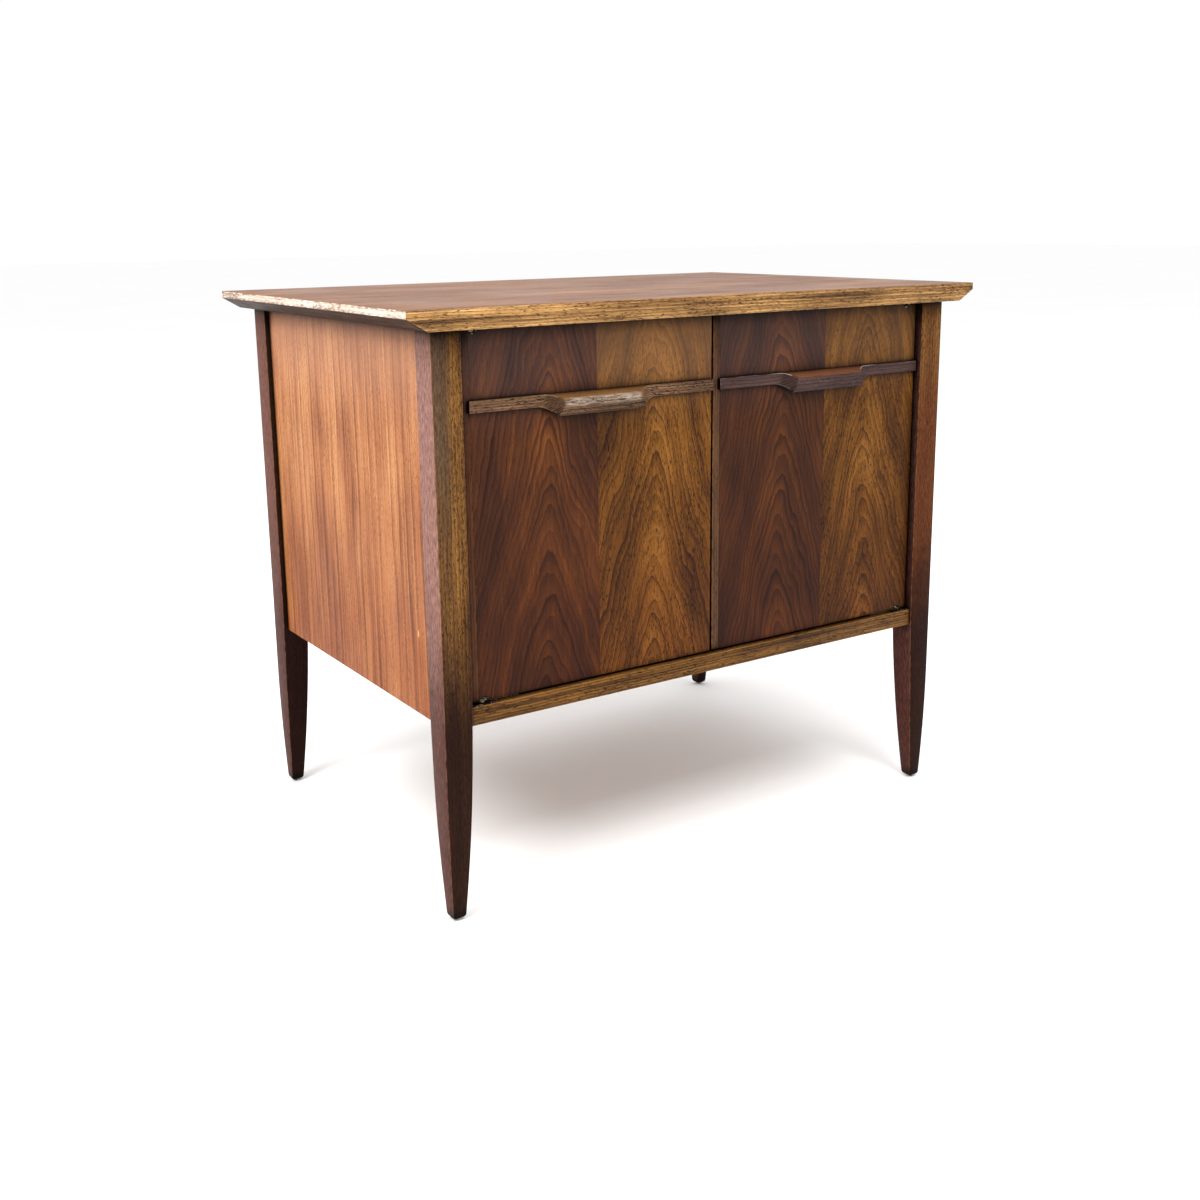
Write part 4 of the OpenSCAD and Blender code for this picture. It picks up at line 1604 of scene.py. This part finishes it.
@dataclass
class Studio:
    """Floor, lights and camera."""

    lamps: tuple[Lamp, ...] = (
        Lamp("key_left", (-2.2, -0.7, 2.7), (-0.2, 0.0, 0.5), 1.4, 84.0),
        Lamp("key_front", (0.0, -1.9, 2.9), (0.0, -0.2, 0.5), 1.0, 42.0),
        Lamp("overhead", (0.2, 0.5, 3.0), (0.0, 0.0, 0.0), 3.0, 30.0),
    )

    eye: Vector = field(default_factory=lambda: Vector((-1.0284, -1.5621, 0.7876)))
    turn: float = -0.582
    tilt: float = 0.223
    roll: float = -0.012
    lens: float = 41.39
    shift_x: float = 0.0010
    shift_y: float = -0.0564
    sensor: float = 36.0
    floor_size: float = 60.0
    glow: float = 1.02

    def build(self) -> None:
        """Set up the floor, the lights and the camera."""
        self.floor()
        self.sky()
        for lamp in self.lamps:
            lamp.hang()
        self.camera()

    def floor(self) -> None:
        """Wide pale floor under the feet."""
        Bench.clear()
        bpy.ops.mesh.primitive_plane_add(size=self.floor_size, location=(0.0, 0.0, 0.0))
        floor = bpy.context.object
        floor.name = "studio_floor"
        floor.data.materials.append(Ground().material())
        floor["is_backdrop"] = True

    def sky(self) -> None:
        """Even white surroundings."""
        scene = bpy.context.scene
        world = bpy.data.worlds.new("studio_white")
        world.use_nodes = True
        shade = world.node_tree.nodes["Background"]
        shade.inputs["Color"].default_value = (1.0, 1.0, 1.0, 1.0)
        shade.inputs["Strength"].default_value = self.glow
        scene.world = world
        scene.view_settings.view_transform = "Standard"
        scene.view_settings.look = "None"

    def camera(self) -> None:
        """Camera at the front left, a little above the top."""
        ahead = Vector((
            -math.sin(self.turn) * math.cos(self.tilt),
            math.cos(self.turn) * math.cos(self.tilt),
            -math.sin(self.tilt),
        ))
        right = ahead.cross(Vector((0.0, 0.0, 1.0))).normalized()
        up = right.cross(ahead)
        c, s = math.cos(self.roll), math.sin(self.roll)
        right, up = right * c + up * s, up * c - right * s
        Bench.clear()
        bpy.ops.object.camera_add(location=self.eye)
        camera = bpy.context.object
        camera.name = "studio_camera"
        turned = Matrix((right, up, -ahead)).transposed()
        camera.rotation_euler = turned.to_euler()
        camera.data.lens = self.lens
        camera.data.sensor_width = self.sensor
        camera.data.shift_x = self.shift_x
        camera.data.shift_y = self.shift_y
        bpy.context.scene.camera = camera


def middle_of(node: str) -> float:
    """Middle of a node across the cabinet, in millimetres."""
    low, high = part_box(node)
    return (low[0] + high[0]) / 2 / MM


def build_pulls() -> None:
    """Model the lighter pull on the left door and the darker one on the right."""
    # In each look, top is the colour of the painted light on the pull's upward faces.
    looks = (
        ("left", "light", PULL_LIGHT, {"ring": 3.0, "drift": 2.0, "seed": 73.0},
         {"pore": 0.95, "pore_size": 0.9, "line": 0.9, "band": 1.1, "fibre": 0.8,
          "top": srgb(118, 80, 38), "nose": srgb(132, 117, 103)},
         {"pore": 0.5, "pale": srgb(128, 104, 80), "strength": 0.7}),
        ("right", "dark", PULL_DARK, {"ring": 4.5, "drift": 3.0, "seed": 79.0},
         {"pore": 0.4, "top": srgb(112, 66, 34), "nose": srgb(66, 52, 50), "nose_rub_and_highlight": 0.1},
         {"pore": 0.3, "pale": srgb(150, 140, 138)}),
    )
    for side, tone, stops, both, body, edge in looks:
        both = both | {"wear_and_highlight": 0.0, "middle": middle_of(f"pull_{side}")}
        wood = PullWalnut(f"pull_{tone}_walnut", stops, Grain.WIDTH, **both, **body)
        arris = ArrisWalnut(f"pull_{tone}_arris", stops, Grain.WIDTH, **both, **edge)
        Pull(side, wood, arris).build()


def main() -> None:
    """Build every sub-assembly in order."""
    logging.basicConfig(level=logging.INFO, format="%(message)s")
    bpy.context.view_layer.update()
    TopSlab().build()
    Legs().build()
    CasePanels().build()
    strip = Walnut("strip_walnut", STRIP_STOPS, Grain.HEIGHT, ring=3.5, drift=2.0,
                   seed=67.0).material()
    inner = Walnut("door_board", INNER_STOPS, Grain.HEIGHT, ring=9.0, drift=12.0, seed=71.0,
                   line=0.2, pore=0.2, rough=0.6, wear_and_highlight=0.0).material()
    # The left door's strip and edges take dark veneer colours: painted shade cast by the left leg.
    dark = Walnut("strip_walnut_leg_shade", DARK_FLAME, Grain.HEIGHT, ring=3.5, drift=2.0,
                  seed=61.0, upper_sheen=0.14).material()
    for side, edge in (("left", dark), ("right", strip)):
        Door(side).build(edge, inner)
    build_pulls()
    Hardware().build()
    HingeKnuckles().build()
    Studio().build()


if __name__ == "__main__":
    main()
